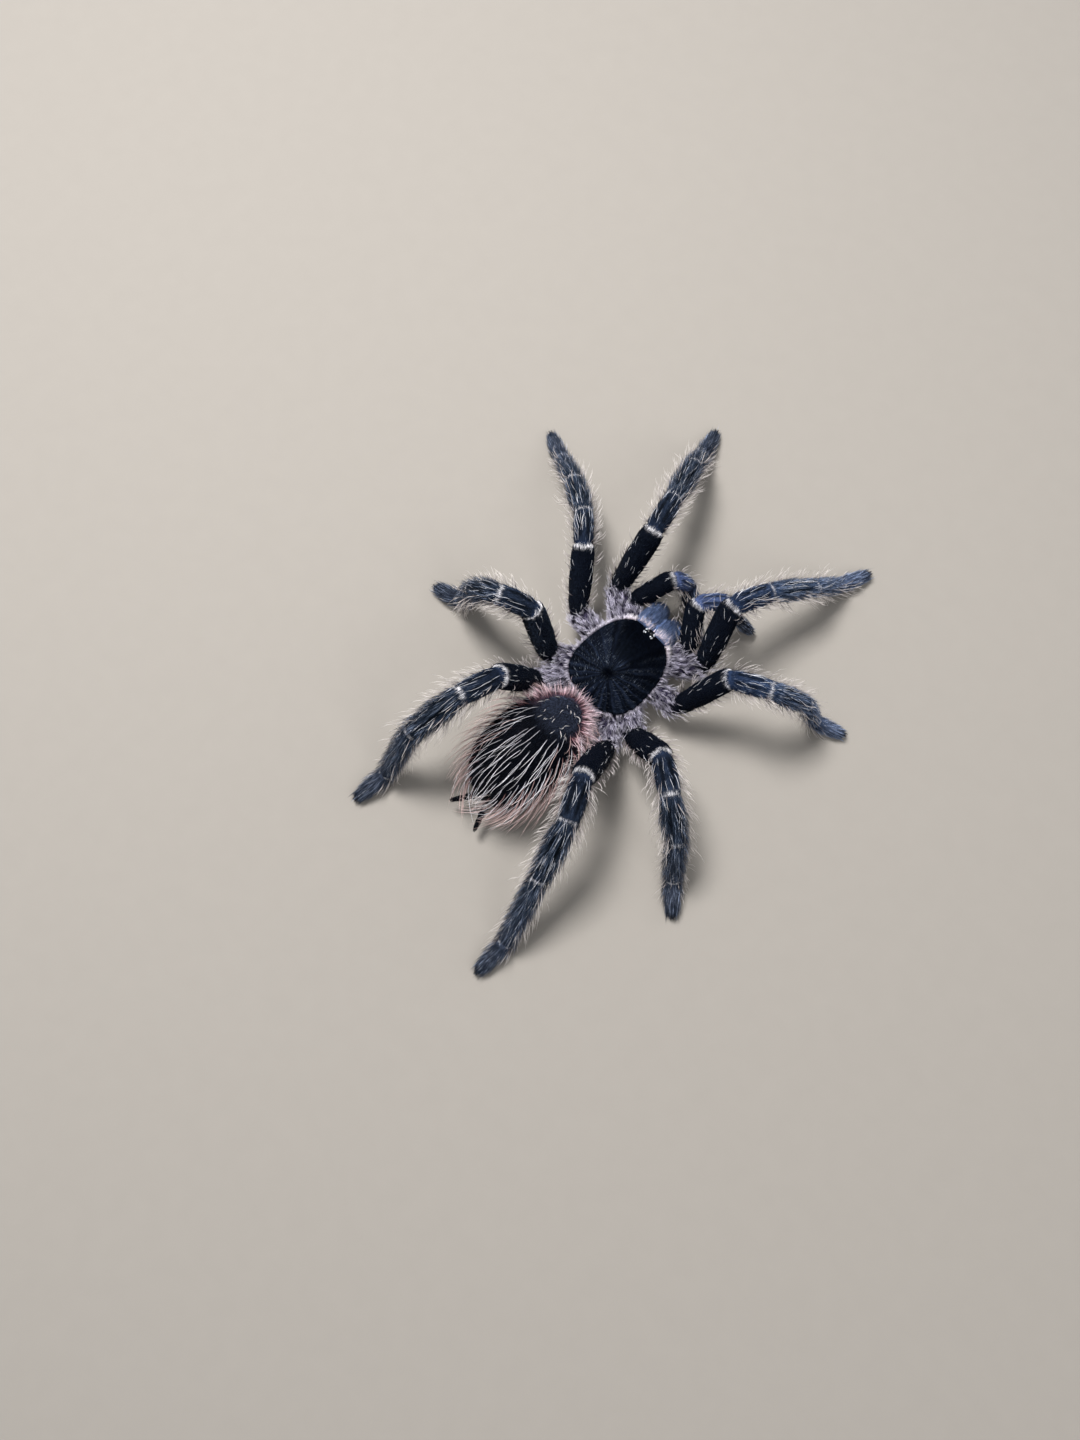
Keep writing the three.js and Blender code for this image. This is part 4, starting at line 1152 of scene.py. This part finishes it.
def back_density(share, turn):
    """Even over the top and upper sides, and none on the bristle patch."""
    upper = 0.21 * ease(0.0, 0.35, np.sin(turn)) * (1 - front_patch_share(share, turn))
    return upper * ease(0.24, 0.36, share) * (1.15 - 0.6 * share)

def flank_density(share, turn):
    """Along the flanks, most towards the back."""
    flank = 0.34 * ease(-0.8, -0.4, np.sin(turn)) * (1 - ease(0.5, 0.93, np.sin(turn)))
    return flank * (0.6 + share) * (1 - 0.7 * ease(0.82, 0.92, share))

def tail_density(share, turn):
    """Round the rear end, on the right."""
    return 0.5 * ease(0.8, 0.88, share) * ease(-0.3, 0.6, -np.cos(turn))

long_hair = [
    long_strands(back_density, 10.8, 0.15, 21, 38, colours("c4c2cc", "fbf8fa"), droop=0.8, spread=7,
                 wave=0.1, waves=0.9, curl=0.75, mottle=0.35),
    long_strands(flank_density, 10.0, 0.19, 42, 40, colours("5a3438", "fadad4"), droop=0.45, spread=9,
                 curl=0.7, wave=0.1, waves=0.9),
    long_strands(tail_density, 7.5, 0.17, 34, 0, colours("4f3d42", "fbefea"), droop=0.5, spread=20,
                 wave=0.08, waves=0.8),
]
grow("long_hair_abdomen", WOOL_FINISH, "abdomen_coat", long_hair, 6)
curls = coat(ABDOMEN_PATCH, lambda u, v: 0.22 * front_patch_share(u, v), 2.4, 0.14, 38,
             colours("f1e8e4", "faf7f7"), spread=30, droop=0.6, wave=0.2, waves=0.6)
grow("short_curls_abdomen", WOOL_FINISH, "abdomen_coat", [curls], 3)

# %% [markdown]
# ## The plate's nap and fringe
# Very short hairs lie flat on the plate and run out from the pit. Streaks in the colour could
# stand for them, but only strands give the silky grain. Most are black like the shell and a
# few are grey, least on the head, and the eyes' mound is bare. A pale fringe shows all round
# the rim, and it is whitest and longest in front, above the jaws.

# %% Nap
from_pit = directions_from(np.array([0, PIT_Y, 0]))
NAP_END = 0.785                     # the nap stops just inside the edge of the top

def plate_places(density):
    """Places on top of the plate, but not on the eye mound or right behind it."""
    u, v = scatter(PLATE_PATCH, density, u=(0.01, NAP_END))
    points = plate_at(u, v)
    from_mound = np.hypot(points[:, 0] / (MOUND_HALF_WIDTH + 0.3),
                          (points[:, 1] - MOUND_Y - 0.35) / (MOUND_HALF_LENGTH + 0.5))
    return u[from_mound > 1], v[from_mound > 1]

places = plate_places(24)
tone = plate_tint(*places)
nap = comb(PLATE_PATCH, places, 1.0, 0.12, 9, (tone, 1.5 * tone), spread=8, mottle=0.6, flow=from_pit)
places = plate_places(7)
x, y, _ = plate_at(*places).T
pale = (0.08 + 1.3 * streak_share(x, y)) * RNG.random(len(x)) ** 1.6
pale = pale * (1 - 0.9 * head_share(x, y))
pale_tints = [pale[:, None] * colour for colour in colours("242c3c", "c2cee2")]
pale_nap = comb(PLATE_PATCH, places, 1.3, 0.12, 11, pale_tints, spread=9, flow=from_pit)
grow("nap_plate", NAP_FINISH, "carapace_plate", [nap, pale_nap], 1)

# %% Fringe
def fringe_density(run, turn):
    """Thick in front, thinner at the sides and back."""
    return 3.6 + 11 * ease(0.6, 0.85, np.cos(turn))

places = scatter(PLATE_PATCH, fringe_density, u=(0.8, 0.86))
front = ease(0.6, 0.95, np.cos(places[1]))
tints = [side + front[:, None] * (ahead - side)
         for side, ahead in (colours("6f687c", "e6d6e0"), colours("efe8f4", "fefafc"))]
fringe = comb(PLATE_PATCH, places, 1.3 + 0.3 * front, 0.13, 8, tints, spread=12, wave=0.12,
              mottle=0.25, members=5, reach=0.16, flow=outward)
grow("fringe_plate", WOOL_FINISH, "coxa_coat", [fringe], 2)

# %% [markdown]
# ## Jaws, mouth, spinnerets and underside
# The jaws wear flat slate-blue velvet, white along the edge of the plate. Its strands grow in
# pairs, which shows as streaks. A few long cream hairs stand near the ends of the jaws, and a
# red-brown brush between them and the mouth. The spinnerets stay nearly bare. The underside
# could be left as skin, as it hardly shows, but a thin brown velvet keeps its look the same.

# %% Jaws
FRONT_HALF_WIDTH, FRONT_POWER = 9.9, 0.385      # the plate's outline along its front edge

def jaw_tints(patch, places):
    """The jaw's tone, here and there with a pale glint, going over to white next to the
    edge of the plate, in a band that is widest on the right."""
    tone = jaw_tint(*places)
    points = patch.at(*places)
    across = np.clip(np.abs(points[:, 0]) / FRONT_HALF_WIDTH, 0, 1)
    edge = -PLATE_LENGTH / 2 * (1 - across ** PLATE_ROUNDNESS) ** FRONT_POWER
    past = edge - points[:, 1] + 0.15 * RNG.standard_normal(len(edge))
    wide = 0.8 + 1.3 * ease(1.0, 4.5, -points[:, 0])
    white = 0.95 * (1 - ease(0.4, 1.2, past / wide))[:, None]
    glint = 0.25 * (RNG.random((len(tone), 1)) < 0.4) * linear("94a8d8")
    return [tone * shade + add * glint + white * (linear(colour) - tone * shade - add * glint)
            for shade, add, colour in ((0.3, 0.1, "b3a2ae"), (1.6, 1, "fdf6f9"))], white[:, 0]

jaw_velvet, jaw_bristles, mouth_brush = [], [], []
for patch in JAWS:
    end = patch.u[1]
    outer_half = lambda u, v: 0.3 * ease(0.35 * end, 0.6 * end, u) * ease(-0.2, 0.3, np.sin(v))
    under_end = lambda u, v: 5.0 * ease(0.45 * end, 0.7 * end, u) * ease(0.2, 0.6, -np.sin(v))
    places = scatter(patch, 17)
    tints, white = jaw_tints(patch, places)
    jaw_velvet.append(comb(patch, places, 2.2 - 1.2 * white, 0.1, 9 + 9 * white, tints, spread=6,
                           mottle=0.45, members=2, reach=0.12))
    jaw_bristles.append(coat(patch, outer_half, 4.2, 0.13, 28, colours("a9999a", "faf7f7"), spread=16,
                             droop=0.6, wave=0.16))
    mouth_brush.append(coat(patch, under_end, 2.0, 0.15, 45, colours("6d2a18", "c0694a"), spread=14,
                            wave=0.1))
grow("velvet_jaws", VELVET_FINISH, "jaw_velvet", jaw_velvet, 1)
grow("bristles_jaws", WOOL_FINISH, "jaw_velvet", jaw_bristles, 3)
grow("brush_mouth", WOOL_FINISH, "jaw_velvet", mouth_brush, 2)

# %% Spinnerets and underside
dark = colours("050508", "16171d")
belly = BELLY_TONE * 0.7, BELLY_TONE * 1.8
spinneret_velvet = [coat(patch, 16, 0.6, 0.14, 14, dark) for patch in SPINNERETS]
belly_velvet = [coat(patch, 9, 1.1, 0.17, 18, belly) for patch in (BREASTPLATE, LIP)]
grow("velvet_spinnerets", VELVET_FINISH, "limb_velvet", spinneret_velvet, 1)
grow("velvet_underside", VELVET_FINISH, "underside", belly_velvet, 1)
